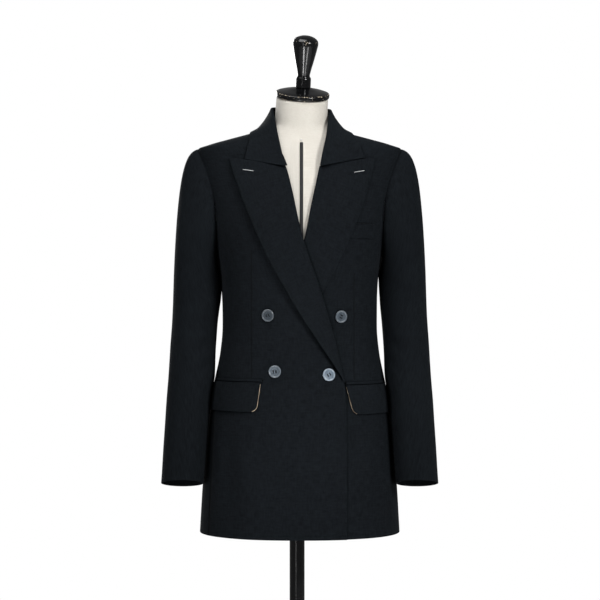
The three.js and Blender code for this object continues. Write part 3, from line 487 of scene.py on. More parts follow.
# closed wall of cloth from its outer face; returns the piece and the size of its flat cut
def clothWall(name, outer, normals, wall, mat=woolMat, inside=None, pull=0.15, facing=22.0):
    rows, columns = outer.shape[:2]
    layers = [pullIn(outer, pull), pullIn(outer - normals * wall, pull)]
    top, low = np.arange(2 * rows * columns).reshape(2, rows, columns)

    def quads(*corners):
        return np.stack(corners, -1).reshape(-1, 4)

    faces = [quads(top[:-1, :-1], top[:-1, 1:], top[1:, 1:], top[1:, :-1]),
             quads(low[:-1, :-1], low[1:, :-1], low[1:, 1:], low[:-1, 1:]),
             quads(top[:-1, 0], top[1:, 0], low[1:, 0], low[:-1, 0]),
             quads(top[:-1, -1], low[:-1, -1], low[1:, -1], top[1:, -1]),
             quads(top[0, :-1], low[0, :-1], low[0, 1:], top[0, 1:]),
             quads(top[-1, :-1], top[-1, 1:], low[-1, 1:], low[-1, :-1])]
    across = np.linalg.norm(np.diff(outer, axis=1), axis=-1)
    along = np.linalg.norm(np.diff(outer, axis=0), axis=-1)
    u = np.concatenate([np.zeros((rows, 1)), np.cumsum(across, 1)], 1)
    v = np.concatenate([np.zeros((1, columns)), np.cumsum(along, 0)], 0)
    # a facing of the outer cloth runs round the inside of each panel
    border = np.minimum(np.minimum(u, u[:, -1:] - u), np.minimum(v, v[-1:] - v))
    lined = border[:-1, :-1].ravel() > facing
    faces = np.concatenate(faces)
    slots = np.zeros(len(faces), "i4")
    slots[len(lined):2 * len(lined)] = lined
    vertices = np.concatenate([layer.reshape(-1, 3) for layer in layers])
    a, b, c, d = (vertices[faces[:, k]] for k in range(4))
    volume = np.sum(a * np.cross(b, c)) + np.sum(a * np.cross(c, d))
    if volume < 0:
        faces = faces[:, ::-1]
    u = u - u[:, columns // 2][:, None]
    uvs = np.tile(np.stack([u, v], -1).reshape(-1, 2), (2, 1))
    side = np.cross(outer[1:, 1:] - outer[:-1, :-1], outer[1:, :-1] - outer[:-1, 1:])
    cut = {"flat": (across.sum(1).max() * mm, along.sum(0).max() * mm),
           "area": np.linalg.norm(side, axis=-1).sum() / 2 * mm * mm}
    made = meshObject(name, vertices, faces.tolist(), [mat, inside or mat], uvs, slots)
    return subdivide(made), cut


# parents a finished piece to the root and hides its solid
def declareSolid(made, solid):
    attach(made, "root")
    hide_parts(solid)


def declareCloth(made, solid):
    declareSolid(made, solid)


# armhole: an oval on the rings, in degrees about the side line and in height; seam is the share of the
# way round it, from the top, at which the side panel begins
armhole = {"middle": 1291, "half": 97, "front": 21, "back": 24, "seam": 0.35, "insideTurn": 0.1,
           "insideHeight": 0.15}
panel = {"edge": [665.5, 735, 807, 880, 953, 1005, 1057, 1108, 1162, 1216],
         "seam": [665.5, 735, 807, 880, 953, 1005, 1062, 1120, 1178, 1234],
         "neck": 1427, "crowding": 1.8, "backNeck": 0.62, "wall": 1.5, "rowPitch": 8.5,
         "columnPitch": 5.5, "armholeRows": 30, "breadth": 175, "sideBreadth": 110, "sideRows": 8,
         "pull": 0.03}
hem, edgeTop = panel["edge"][0], panel["edge"][-1]
seamTop = panel["seam"][-1]
sideSeams = {"z": [665.5, 888, 1053, 1234], "front": [63, 68.5, 70, 73.01], "back": [118, 114, 111, 109.42]}
sideSeamFront = curveOf(sideSeams, "front")
sideSeamBack = curveOf(sideSeams, "back")
# how far the fronts' edges draw back under the lapels, as the depth and the heights that it comes in over
rollTuck = ((3.0, 953, 985), (2.0, 1320, 1345), (-5.0, 1385, 1420))
# inner edge of each front, measured towards its own side
frontEdges = {
    "z": [665.5, 895, 930, 953, 1108, 1216, 1304, 1350, 1392, 1427],
    "right": [-86, -84.5, -82.5, -79, -41, -6, 15.5, 27, 45, 66],
    "left": [-77, -75.5, -73, -67, -22.5, 8.5, 28, 37, 48, 66],
}


def armholeTurn(share, inside=0.0):
    sine = np.sin(2 * np.pi * share)
    return 90 - (np.where(sine > 0, armhole["front"], armhole["back"]) - inside) * sine


def armholeHeight(share, inside=0.0):
    return armhole["middle"] + (armhole["half"] - inside) * np.cos(2 * np.pi * share)


# heights of the rows below the armhole and shares of the climb beside it
lowRows = hem + stations(edgeTop - hem, panel["rowPitch"])[:-2] * (edgeTop - hem)
climbRows = np.concatenate([np.linspace(0, 1, panel["armholeRows"])[:-1], [0.985, 0.995, 1.0]])
panelColumns = stations(panel["breadth"], panel["columnPitch"])

# soft creases of the body by turn and height; the wearer's right has the negative turns
bodyCreases = [
    (15, -3.0, 0.5, (-47, 868), (-45, 800), (-44, 735), (-43, 690)),
    (20, 1.2, 0.3, (-33, 845), (-31, 770), (-30, 700)),
    (12, 1.4, 0.3, (-60, 900), (-57, 830), (-56, 760)),
    (13, -1.8, 0.4, (-66, 1228), (-60, 1190), (-56, 1140), (-57, 1080)),
    (15, -0.9, 0.3, (-52, 1260), (-47, 1215), (-40, 1180)),
    (11, -0.9, 0.3, (-62, 1080), (-52, 1052), (-38, 1046)),
    (9, -0.7, 0.3, (-66, 1046), (-56, 1022), (-44, 1018)),
    (12, -1.7, 0.4, (66, 1230), (62, 1200), (58, 1160), (58, 1110)),
    (14, -0.8, 0.3, (56, 1265), (50, 1225), (46, 1195)),
    (10, -0.8, 0.3, (64, 1088), (54, 1062), (40, 1050)),
    (9, -0.6, 0.3, (62, 1030), (54, 1012), (44, 1010)),
    (14, -1.4, 0.5, (58, 880), (55, 810), (54, 730)),
    (20, 0.9, 0.3, (40, 860), (38, 780), (38, 700)),
    (9, -0.5, 0.3, (12, 1000), (-8, 988), (-22, 986)),
    (24, -0.6, 0.3, (-4, 930), (2, 850), (4, 760)),
    (12, -1.6, 0.3, (-100, 1215), (-104, 1150), (-100, 1090)),
    (12, -1.4, 0.3, (100, 1218), (103, 1160), (101, 1100)),
    (14, -0.8, 0.5, (-90, 860), (-92, 790), (-92, 720)),
    (13, -0.9, 0.5, (92, 860), (94, 785), (93, 700)),
    (13, 1.5, 0.2, (-89, 975), (-90, 930), (-89, 880)),
    (13, 1.3, 0.2, (89, 970), (90, 930), (89, 885)),
    (12, 1.7, 0.2, (-88, 1200), (-90, 1150), (-90, 1096)),
    (12, 1.0, 0.2, (88, 1198), (90, 1150), (90, 1112)),
    (7, 1.3, 0, (-78, 1384), (-90, 1388), (-102, 1384)),
    (7, 1.3, 0, (78, 1384), (90, 1388), (102, 1384)),
    (13, 2.4, 0, (-87, 1387), (-77.7, 1369), (-70, 1321), (-69, 1285)),
    (13, 1.2, 0, (87, 1387), (77.7, 1369), (70, 1321), (69, 1285)),
    (14, -2.2, 0.4, (-121, 1270), (-128, 1200), (-126, 1120)),
    (14, -1.9, 0.4, (121, 1275), (127, 1210), (127, 1135)),
    (12, -1.0, 0.3, (-134, 1240), (-139, 1180), (-136, 1120)),
    (13, -1.1, 0.3, (135, 1252), (141, 1190), (139, 1110)),
    (9, -1.3, 0.3, (-168, 1070), (-150, 1052), (-130, 1056)),
    (10, -1.1, 0.3, (166, 1078), (150, 1062), (132, 1066)),
    (8, -0.9, 0.3, (-170, 1030), (-152, 1018), (-136, 1026)),
    (8, -0.8, 0.3, (172, 1040), (158, 1028), (140, 1034)),
    (17, -2.2, 0.5, (-150, 960), (-148, 850), (-149, 700)),
    (18, -2.0, 0.5, (148, 940), (150, 840), (151, 690)),
    (15, 1.6, 0.3, (-128, 900), (-126, 800), (-127, 690)),
    (15, 1.4, 0.3, (130, 910), (129, 810), (128, 700)),
    (9, -0.9, 0.3, (-176, 1405), (-150, 1398), (-128, 1388)),
    (9, -0.8, 0.3, (176, 1404), (152, 1399), (130, 1390)),
]


def addCreases(points, normals, creases, surface, inside):
    raised = points + normals * creaseHeight(points, creases, surface)[..., None]
    return raised, gridNormals(raised, inside)


def bodyPanel(name, solid, turn, z, lift=0.0):
    points, normals = bodySpot(turn, z, lift)
    centre = np.stack([0 * z, 0 * z, z], -1)
    points, normals = addCreases(points, normals, bodyCreases, ringPoint, centre)
    made, cut = clothWall(name, points, normals, panel["wall"], inside=liningMat, pull=panel["pull"])
    declareCloth(made, solid)


# a panel between its free edge and its seam, which climbs the armhole by the given shares of its way round
def panelBetween(name, solid, side, edgeTurn, edgeZ, seamCurve, share, liftAt=None):
    seamLow = np.interp(lowRows, panel["edge"], panel["seam"])
    seamZ = np.concatenate([seamLow, armholeHeight(share)])
    seamTurn = np.concatenate([seamCurve(seamLow), armholeTurn(share)])
    z = mix(edgeZ[:, None], seamZ[:, None], panelColumns[None, :])
    turn = side * mix(edgeTurn[:, None], seamTurn[:, None], panelColumns[None, :])
    bodyPanel(name, solid, turn, z, liftAt(ringPoint(turn, z)[..., 0], z) if liftAt else 0.0)


# from the front's edge, which draws back under the roll of its lapel, to the side seam
def makeFront(hand, side, liftAt):
    edgeZ = np.concatenate([lowRows, mix(edgeTop, panel["neck"], 1 - (1 - climbRows) ** panel["crowding"])])
    tuck = sum(depth * smooth(edgeZ, low, high) for depth, low, high in rollTuck)
    edgeTurn = turnOf(curveOf(frontEdges, hand)(edgeZ) + tuck, edgeZ)
    panelBetween(f"frontPanel_{hand}", f"front_{hand}", side, edgeTurn, edgeZ, sideSeamFront,
                 armhole["seam"] * (1 - climbRows), liftAt)


# side panel, up to the bottom of the armhole
def makeSide(hand, side):
    across = stations(panel["sideBreadth"], panel["columnPitch"])[None, :]
    share = mix(armhole["seam"], 1 - armhole["seam"], across)
    ends = armholeTurn(np.array([armhole["seam"], 1 - armhole["seam"]]))
    place = (armholeTurn(share) - ends[0]) / (ends[1] - ends[0])
    top = panel["seam"][-2]
    low = np.interp(lowRows, panel["edge"], panel["seam"])[:, None]
    low = low[low[:, 0] < top]
    up = np.linspace(0, 1, panel["sideRows"])[:, None]
    z = np.concatenate([low + 0 * share, mix(top, armholeHeight(share), up)])
    seamZ = np.concatenate([low + 0 * share, mix(top, seamTop, up) + 0 * share])
    turn = side * mix(sideSeamFront(seamZ), sideSeamBack(seamZ), place)
    bodyPanel(f"sidePanel_{hand}", f"side_body_{hand}", turn, z)


# back, from the centre seam and the neck to the side seam
def makeBack(hand, side):
    onCentre = np.minimum(climbRows / panel["backNeck"], 1)
    onNeck = np.maximum((climbRows - panel["backNeck"]) / (1 - panel["backNeck"]), 0)
    edgeZ = np.concatenate([lowRows, mix(edgeTop, panel["neck"], onCentre)])
    edgeTurn = np.concatenate([0 * lowRows + 180, mix(180, 90, onNeck)])
    panelBetween(f"backPanel_{hand}", f"back_{hand}", side, edgeTurn, edgeZ, sideSeamBack,
                 1 - armhole["seam"] * (1 - climbRows))


hands = (("right", -1, rightLift), ("left", 1, noLift))
for hand, side, liftAt in hands:
    makeFront(hand, side, liftAt)
    makeSide(hand, side)
    makeBack(hand, side)
print("body panels ready", flush=True)

# sleeves: level rings below the armhole, for the wearer's left; the right one is its mirror
sleeve = {
    "z": [1150, 1099, 1053, 1008, 962, 917, 871, 825, 780, 761.5],
    "x": [195.5, 196.6, 199.5, 202.1, 203.7, 208.9, 211.6, 214.5, 217.3, 219],
    "y": [8, 4, -2, -10, -20, -30, -40, -48, -56, -59],
    "width": [42.8, 43.8, 43.1, 43.1, 43.7, 41.5, 41, 40.6, 39.8, 39.2],
    "depth": [60, 57, 54, 52, 50, 48.5, 46.5, 45, 43.5, 42.5],
    "tip": [0, 1, 3, 5, 7, 9, 10, 12, 13.5, 14.5],
    "yaw": [12, 8, 4, 0, -3, -6, -8, -8, -6, -6],
    "outOuter": 35.5, "outInner": 3, "riseOuter": 3, "riseInner": -10, "dropOuter": 150, "dropInner": 18,
    "settleOuter": -6, "forward": 13, "seamBack": -63, "seamFront": 162, "wall": 1.5,
    "upperBreadth": 205, "underBreadth": 118, "pitch": 5.5, "facing": 45.0,
}
sleeveCurves = {key: curveOf(sleeve, key) for key in ("x", "y", "width", "depth", "tip", "yaw")}


def sleeveRing(turn, z):
    forward = sleeveCurves["depth"](z) * np.sin(np.radians(turn))
    outward = sleeveCurves["width"](z) * np.cos(np.radians(turn))
    tip, yaw = np.radians(sleeveCurves["tip"](z)), np.radians(sleeveCurves["yaw"](z))
    ahead = forward * np.cos(yaw) - outward * np.sin(yaw)
    return np.stack([sleeveCurves["x"](z) + outward * np.cos(yaw) + forward * np.sin(yaw),
                     sleeveCurves["y"](z) - ahead * np.cos(tip), z + ahead * np.sin(tip)], -1)


# sleeve surface: down is 0 at the armhole, 1 below the armpit, 2 at the cuff
def sleevePoint(turn, down):
    turn, down = np.broadcast_arrays(np.asarray(turn, float), np.asarray(down, float))
    top, cuff = sleeve["z"][0], sleeve["z"][-1]
    tube = sleeveRing(turn, mix(top, cuff, np.maximum(down - 1, 0)))
    share = turn / 360
    start = ringPoint(armholeTurn(share, armhole["insideTurn"]),
                      armholeHeight(share, armhole["insideHeight"]))
    end = sleeveRing(turn, np.full_like(turn, top))
    outside = (1 + np.cos(np.radians(turn))) / 2
    leave = start + np.stack([mix(sleeve["outInner"], sleeve["outOuter"], outside),
                              -sleeve["forward"] * np.sin(np.radians(turn)),
                              mix(sleeve["riseInner"], sleeve["riseOuter"], outside)], -1)
    arrive = end + np.stack([sleeve["settleOuter"] * outside, 0 * outside,
                             mix(sleeve["dropInner"], sleeve["dropOuter"], outside)], -1)
    t = np.clip(down, 0, 1)[..., None]
    cap = start * (1 - t) ** 3 + 3 * leave * t * (1 - t) ** 2 + 3 * arrive * t * t * (1 - t) + end * t ** 3
    return np.where(down[..., None] >= 1, tube, cap)


# creases by turn and way down; the two arms differ
sleeveCreases = {
    "right": [
        (13, -1.6, 0.3, (60, 0.30), (75, 0.65), (88, 1.0)),
        (10, -1.5, 0.3, (140, 1.02), (112, 1.10), (80, 1.16)),
        (10, -1.7, 0.5, (165, 1.30), (128, 1.36), (92, 1.37)),
        (9, -1.4, 0.5, (160, 1.42), (130, 1.45), (105, 1.50)),
        (15, -1.3, 0.3, (30, 1.24), (50, 1.40), (62, 1.62)),
        (13, -1.2, 0.3, (84, 1.56), (78, 1.74), (80, 1.92)),
        (11, -1.6, 0.3, (225, 1.26), (250, 1.34), (275, 1.36)),
        (10, -1.2, 0.3, (215, 1.44), (245, 1.50), (268, 1.55)),
        (13, -1.8, 0.3, (-40, 0.35), (-58, 0.70), (-66, 1.05)),
        (12, 0.8, 0.3, (20, 0.06), (24, 0.28), (30, 0.55)),
        (7, 1.3, 0, (-30, 0.0), (0, 0.0), (30, 0.0)),
        (13, 2.4, 0, (9, 0.0), (36, 0.0), (72, 0.0), (94, 0.0)),
        (15, 5.0, 0.2, (182, 0.80), (186, 1.0), (188, 1.165)),
        (12, 1.6, 0.2, (180, 1.505), (181, 1.59), (183, 1.70)),
    ],
    "left": [
        (14, -1.4, 0.3, (56, 0.34), (70, 0.62), (82, 0.96)),
        (9, -1.3, 0.3, (146, 1.03), (118, 1.08), (90, 1.12)),
        (11, -1.8, 0.5, (163, 1.27), (132, 1.33), (98, 1.36)),
        (9, -1.1, 0.5, (158, 1.40), (122, 1.44), (98, 1.48)),
        (14, -1.1, 0.3, (36, 1.20), (52, 1.36), (60, 1.55)),
        (14, -1.4, 0.3, (96, 1.60), (88, 1.76), (86, 1.95)),
        (10, -1.4, 0.3, (222, 1.29), (248, 1.35), (272, 1.40)),
        (11, -1.3, 0.3, (210, 1.50), (238, 1.54), (266, 1.62)),
        (14, -1.6, 0.3, (-36, 0.40), (-52, 0.72), (-62, 1.10)),
        (12, 0.7, 0.3, (12, 0.08), (16, 0.30), (20, 0.60)),
        (7, 1.3, 0, (-30, 0.0), (0, 0.0), (30, 0.0)),
        (13, 1.2, 0, (9, 0.0), (36, 0.0), (72, 0.0), (94, 0.0)),
        (14, 3.0, 0.2, (182, 0.82), (185, 0.98), (186, 1.11)),
        (12, 1.5, 0.2, (180, 1.515), (181, 1.60), (183, 1.70)),
    ],
}


# rows down a sleeve: over its head, and on to the cuff
headRows = np.concatenate([[0, 0.006, 0.018], np.linspace(0.04, 1, 26)]) ** 1.1
tubeRows = 1 + np.concatenate([np.linspace(0, 1, 48)[1:-1], [0.988, 0.995, 0.998, 1.0]])
sleeveRows = np.concatenate([headRows, tubeRows])[:, None]


def sleevePanel(name, solid, hand, side, start, stop, breadth):
    turn = mix(start, stop, stations(breadth, sleeve["pitch"]))[None, :]
    points = sleevePoint(turn, sleeveRows)
    z = points[..., 2]
    axis = np.stack([sleeveCurves["x"](z), sleeveCurves["y"](z), z], -1)
    normals = gridNormals(points, axis)
    points, normals = addCreases(points, normals, sleeveCreases[hand], sleevePoint, axis)
    mirror = np.array([side, 1, 1])
    made, cut = clothWall(name, points * mirror, normals * mirror, sleeve["wall"], inside=liningMat,
                          pull=panel["pull"], facing=sleeve["facing"])
    declareCloth(made, solid)


for hand, side, _ in hands:
    sleevePanel(f"upperSleeve_{hand}", f"sleeve_upper_{hand}", hand, side, sleeve["seamBack"],
                sleeve["seamFront"], sleeve["upperBreadth"])
    sleevePanel(f"underSleeve_{hand}", f"sleeve_under_{hand}", hand, side, sleeve["seamFront"],
                360 + sleeve["seamBack"], sleeve["underBreadth"])
print("sleeves ready", flush=True)

# lapels, folded back from the roll line; stand is how far the outer edge lifts off the front
lapel = {
    "right": {"gorge": 1349.8, "tip": 130.7, "tipZ": 1367, "belly": 17.5},
    "left": {"gorge": 1349.8, "tip": 140.5, "tipZ": 1369, "belly": 28.5},
    "stand": {"up": [0, 0.12, 0.3, 0.5, 0.7, 0.9, 1], "right": [0.6, 5.4, 7.0, 7.0, 7.2, 7.0, 2.6],
              "left": [0, 0, 0, 0.4, 2.6, 1.8, 0.8]},
    "ease": {"z": [953, 1230, 1270, 1300, 1335, 1350], "right": [0, 0, 0.6, 1.6, 1.7, 1.0],
             "left": [0, 0, 1.4, 1.5, 0.6, 0.4]},
    "break": 953, "foot": 2.5, "arch": 0.5, "gap": 0.8, "thick": 2.0, "wall": 1.5, "roll": 2.3,
    "rollTurns": [-55, -28, 0, 28, 52, 72], "rollOff": 2.0, "rows": 410, "across": 100, "pitch": 5.0,
    "acrossPitch": 4.0, "edge": 0.5, "head": 0.25,
}


def makeLapelPiece(hand, side, liftAt, creases):
    shape = lapel[hand]
    edgeReach = curveOf(frontEdges, hand)
    up = stations(lapel["rows"], lapel["pitch"])[:, None]
    flat = stations(lapel["across"], lapel["acrossPitch"])[None, :]
    rollZ = mix(lapel["break"] + lapel["foot"], shape["gorge"], up)
    outerZ = mix(lapel["break"], shape["tipZ"], up)
    roll = edgeReach(rollZ) - curveOf(lapel["ease"], hand)(rollZ)
    foot = edgeReach(lapel["break"])
    outer = mix(foot, shape["tip"], up) + shape["belly"] * 4 * up * (1 - up)
    outer = np.maximum(outer, roll + lapel["foot"])
    standUp = curveOf(lapel["stand"], hand, "up")(up)

    def laid(across):
        z = mix(rollZ, outerZ, across)
        x = side * mix(roll, outer, across)
        lift = lapel["gap"] + lapel["thick"] + standUp * across + lapel["arch"] * 4 * across * (1 - across)
        # the outer edge and the head are pressed a little thinner than the lapel
        lift = lift - lapel["edge"] * smooth(across, 0.965, 1.0) - lapel["head"] * smooth(up, 0.992, 1.0)
        return bodySpot(turnOf(x, z), z, lift + liftAt(x, z))

    start = np.minimum(lapel["rollOff"] / (outer - roll), 0.45)
    points = laid(mix(start, 1.0, flat))[0]
    first, firstNormal = laid(start)
    back = unit(first - laid(start + 0.02)[0])
    wrap = [first + lapel["roll"] * (back * np.cos(angle) + firstNormal * (np.sin(angle) - 1))
            for angle in np.radians(lapel["rollTurns"])]
    points = np.concatenate([*wrap, points], 1)
    centre = points * [0, 0, 1] + [0, 40, 0]
    raised, normals = addCreases(points, gridNormals(points, centre), creases, ringPoint, centre)
    made, cut = clothWall(f"lapelFold_{hand}", raised, normals, lapel["wall"])
    declareCloth(made, f"lapel_{hand}")


makeLapelPiece("right", -1, rightLift, [
    (22, 0.9, 0.3, (-33, 1335), (-26, 1250), (-17, 1160)),
    (14, -0.6, 0.3, (-13, 1330), (-10, 1270), (-2, 1210)),
    (13, 0.6, 0.3, (-20, 1120), (-8, 1060), (8, 1010)),
])
makeLapelPiece("left", 1, noLift, [
    (22, 0.9, 0.3, (36, 1338), (30, 1270), (24, 1190)),
    (14, -0.6, 0.3, (17, 1330), (14, 1280), (12, 1230)),
    (13, 0.5, 0.3, (24, 1120), (20, 1060), (22, 1010)),
])
print("lapels ready", flush=True)

# collar from the gorge (step 0) to the centre back: its fold, its outer edge and its neck seam
collarSteps = list(range(8))
collarFold = {
    "step": collarSteps, "right": [-30.3, -37.2, -44.2, -50.4, -52.8, -42.5, -21, 3.5],
    "left": [40.5, 46.3, 53, 56.5, 58, 49.5, 28, 3.5], "y": [-88.5, -75, -53.5, -24, 6, 39, 57, 61.5],
    "z": [1350.5, 1381, 1413, 1445, 1462, 1467, 1467, 1466], "rise": [0, 0, 0.6, 2.4, 3.2, 2.4, 1.0, 0],
}
collarEdge = {
    "step": collarSteps, "right": [33.2, 30.6, 44.5, 88, 114, 140, 162, 180],
    "left": [40.1, 36.4, 50, 88, 112, 140, 162, 180],
    "rightZ": [1362.8, 1388, 1408, 1420.5, 1419, 1418.5, 1419, 1419],
    "leftZ": [1366.4, 1387, 1408, 1419.3, 1418, 1418, 1419, 1419],
    "lift": [4.2, 2.9, 2.4, 2.4, 2.2, 2.0, 2.0, 2.0],
}
collarSeam = {
    "step": collarSteps, "right": [7.1, 10.7, 20.6, 53, 95, 133, 160, 180],
    "left": [12.2, 13.9, 21.6, 53, 95, 133, 160, 180],
    "z": [1352.5, 1378.5, 1405.5, 1423.6, 1428.6, 1428.8, 1428.8, 1428.8],
}
# the fall's sag comes in at step sagFrom and is full at step sagFull
collar = {"neck": 3.5, "fold": 2.6, "wall": 2.0, "sag": 2.2, "sagFrom": 2, "sagFull": 4,
          "seamDepth": 0.8, "length": 470, "pitch": 4.5}
collarCreases = [
    (9, -0.5, 0.3, (0.10, 0.05), (0.16, 0.25), (0.24, 0.40)),
    (9, -0.45, 0.3, (0.90, 0.05), (0.84, 0.25), (0.77, 0.40)),
    (10, -0.6, 0.3, (0.30, 0.10), (0.45, 0.22), (0.52, 0.20)),
    (11, -0.5, 0.3, (0.55, 0.24), (0.66, 0.16), (0.74, 0.20)),
]


# a point of the collar by shares along it and across it
def fallPoint(middle, along, across):
    rows, columns = middle.shape[:2]
    i = np.clip((along * (rows - 1)).astype(int), 0, rows - 1)
    j = np.clip((across * (columns - 1)).astype(int), 0, columns - 1)
    return middle[i, j]


def makeCollarPiece():
    last = collarSteps[-1]
    around = last * (2 * stations(collar["length"], collar["pitch"]) - 1)
    step = last - np.abs(around)
    right = around < 0
    side = np.where(right, -1.0, 1.0)

    def column(columns, key, at):
        return curveOf(columns, key, "step")(at)

    def handed(columns, a, b, at, isRight):
        return np.where(isRight, column(columns, a, at), column(columns, b, at))

    def fold(at):
        isRight, place = at < 0, last - np.abs(at)
        rise = np.where(isRight, column(collarFold, "rise", place), 0)
        return np.stack([handed(collarFold, "right", "left", place, isRight),
                         column(collarFold, "y", place), column(collarFold, "z", place) + rise], -1)

    centre = fold(around)
    along = unit(fold(np.minimum(around + 0.25, last)) - fold(np.maximum(around - 0.25, -last)))
    outward = unit((centre - [collar["neck"], 0, 0]) * [1, 1, 0])
    crest = unit(np.cross(along, outward))
    edgeTurn = side * handed(collarEdge, "right", "left", step, right)
    edgeZ = handed(collarEdge, "rightZ", "leftZ", step, right)
    edge = bodySpot(edgeTurn, edgeZ, column(collarEdge, "lift", step))[0]
    seamTurn = side * handed(collarSeam, "right", "left", step, right)
    seam = bodySpot(seamTurn, column(collarSeam, "z", step), 0 * step - collar["seamDepth"])[0]
    outerFold = centre + outward * collar["fold"]
    sag = collar["sag"] * smooth(step, collar["sagFrom"], collar["sagFull"])
    section = []
    for share in np.concatenate([[0, 0.03, 0.09], np.linspace(0.18, 0.94, 9)]):
        drop = outward * (sag * 4 * share * (1 - share))[:, None]
        section.append(mix(edge, outerFold, share) - drop)
    for angle in np.radians([0, 30, 60, 90, 120, 150, 180]):
        section.append(centre + collar["fold"] * (outward * math.cos(angle) + crest * math.sin(angle)))
    innerFold = centre - outward * collar["fold"]
    for share in (0.12, 0.3, 0.5, 0.7, 0.9, 1.0):
        section.append(mix(innerFold, seam, share))
    middle = np.stack(section, 1)
    down = np.gradient(middle, axis=1)
    onward = np.gradient(middle, axis=0)
    normals = unit(np.cross(down, onward))
    if np.sum(normals[:, 3] * outward) < 0:
        normals = -normals
    creased = creaseHeight(middle, collarCreases, lambda a, b: fallPoint(middle, a, b))
    middle = middle + normals * creased[..., None]
    made, cut = clothWall("collarFall", middle + normals * (collar["wall"] / 2), normals, collar["wall"])
    declareCloth(made, "collar")


makeCollarPiece()
print("collar ready", flush=True)

# hip pockets: a jet, the flap beneath it and the lining that shows past the flap's front end
flap = {"top": 951.4, "bottom": 898, "length": 100, "corner": 10.5, "farTurn": 77, "wall": 1.3, "trim": 1.0,
        "seam": 0.3, "show": 0.6, "depth": 10, "inset": 3.0, "rise": 0.8, "curl": 0.5, "rows": 53,
        "near": (0.7, 2.0, 4.0, 6.5, 9.0, 11.0), "liningRows": 50, "liningColumns": 11}
flapEnds = {
    "right": {"reach": 69.3, "slant": 8.0, "drop": 0, "jetReach": 66.5, "lined": 0.06},
    "left": {"reach": 83.8, "slant": 14.5, "drop": 5, "jetReach": 84.6, "lined": 0.24},
}
jet = {"bottom": 952.2, "top": 957.6, "crown": 0.5}


# how much a flap's rounded corner takes off, past the start of its round
def cornerCut(past):
    return flap["corner"] - np.sqrt(flap["corner"] ** 2 - past ** 2)


def makePocket(hand, side, liftAt):
    end = flapEnds[hand]

    def laid(reach, across, height, lift):
        z = height - end["drop"]
        turn = mix(turnOf(reach, z), flap["farTurn"], across)
        x = side * ringPoint(turn, z)[..., 0]
        return bodySpot(side * turn, z, lift + liftAt(x, z))

    def flapReach(z):
        return end["reach"] + end["slant"] * (flap["top"] - z) / (flap["top"] - flap["bottom"])

    up = np.array([0, 0.15, 0.35, 0.65, 0.85, 1.0])[:, None]
    across = stations(flap["length"], 4.0)[None, :]
    crown = jet["crown"] * (np.sin(np.pi * up) - 0.6)
    points, normals = laid(end["jetReach"], across, mix(jet["bottom"], jet["top"], up),
                           lapel["gap"] + flap["trim"] + crown)
    made, cut = clothWall(f"pocketJet_{hand}", points, normals, flap["trim"] - 0.1, pull=0.0)
    declareCloth(made, f"pocket_jet_{hand}")

    across = stations(flap["length"], 3.2, flap["near"])[None, :]
    down = stations(flap["rows"], 3.0)[::-1][:, None]
    inward = np.minimum(across * flap["length"], flap["corner"])
    z = mix(flap["top"], flap["bottom"] + cornerCut(flap["corner"] - inward), down)
    under = lapel["gap"] + flap["trim"] + flap["seam"]
    lift = under + flap["wall"] + flap["curl"] * smooth(down, 0.6, 1.0) * (0.4 + 0.6 * np.cos(3 * across))
    points, normals = laid(flapReach(z), across, z, lift)
    made, cut = clothWall(f"pocketFlap_{hand}", points, normals, flap["wall"] - 0.1, pull=0.0)
    declareCloth(made, f"pocket_flap_{hand}")

    share = stations(flap["liningRows"], 3.0)[:, None]
    z = mix(flap["top"] - flap["inset"], flap["bottom"] + flap["rise"], share)
    rounding = cornerCut(np.maximum(flap["bottom"] + flap["corner"] - z, 0))
    show = flap["show"] * (0.55 + 0.45 * np.sin(share * 9.0 + end["reach"])) * smooth(share, 0.98, 0.6)
    show = show * smooth(share, end["lined"], end["lined"] + 0.25)
    inward = mix(-show, flap["depth"], stations(flap["liningColumns"], 2.5, (0.5, 1.2))[None, :]) + rounding
    points, normals = laid(flapReach(z) + inward, 0.0 * inward, z + 0 * inward, lapel["gap"] + flap["trim"])
    made, cut = clothWall(f"flapLining_{hand}", points, normals, flap["trim"] - 0.2, liningMat, pull=0.0)
    declareCloth(made, f"flap_lining_{hand}")


for hand, side, liftAt in hands:
    makePocket(hand, side, liftAt)

# breast pocket welt
welt = {"inner": 93, "outer": 138.5, "bottom": 1216.5, "top": 1243, "lift": 1.6, "wall": 0.9,
        "breadth": 40, "near": (0.6, 1.8)}
z = mix(welt["bottom"], welt["top"], stations(welt["top"] - welt["bottom"], 3.2, welt["near"])[:, None])
x = mix(welt["inner"], welt["outer"], stations(welt["breadth"], 3.5, welt["near"])[None, :])
points, normals = bodySpot(turnOf(x, z), z, welt["lift"] + 0 * x)
weltPiece, cut = clothWall("weltStrip", points, normals, welt["wall"], pull=0.0)
declareCloth(weltPiece, "chest_welt")
print("pockets ready", flush=True)


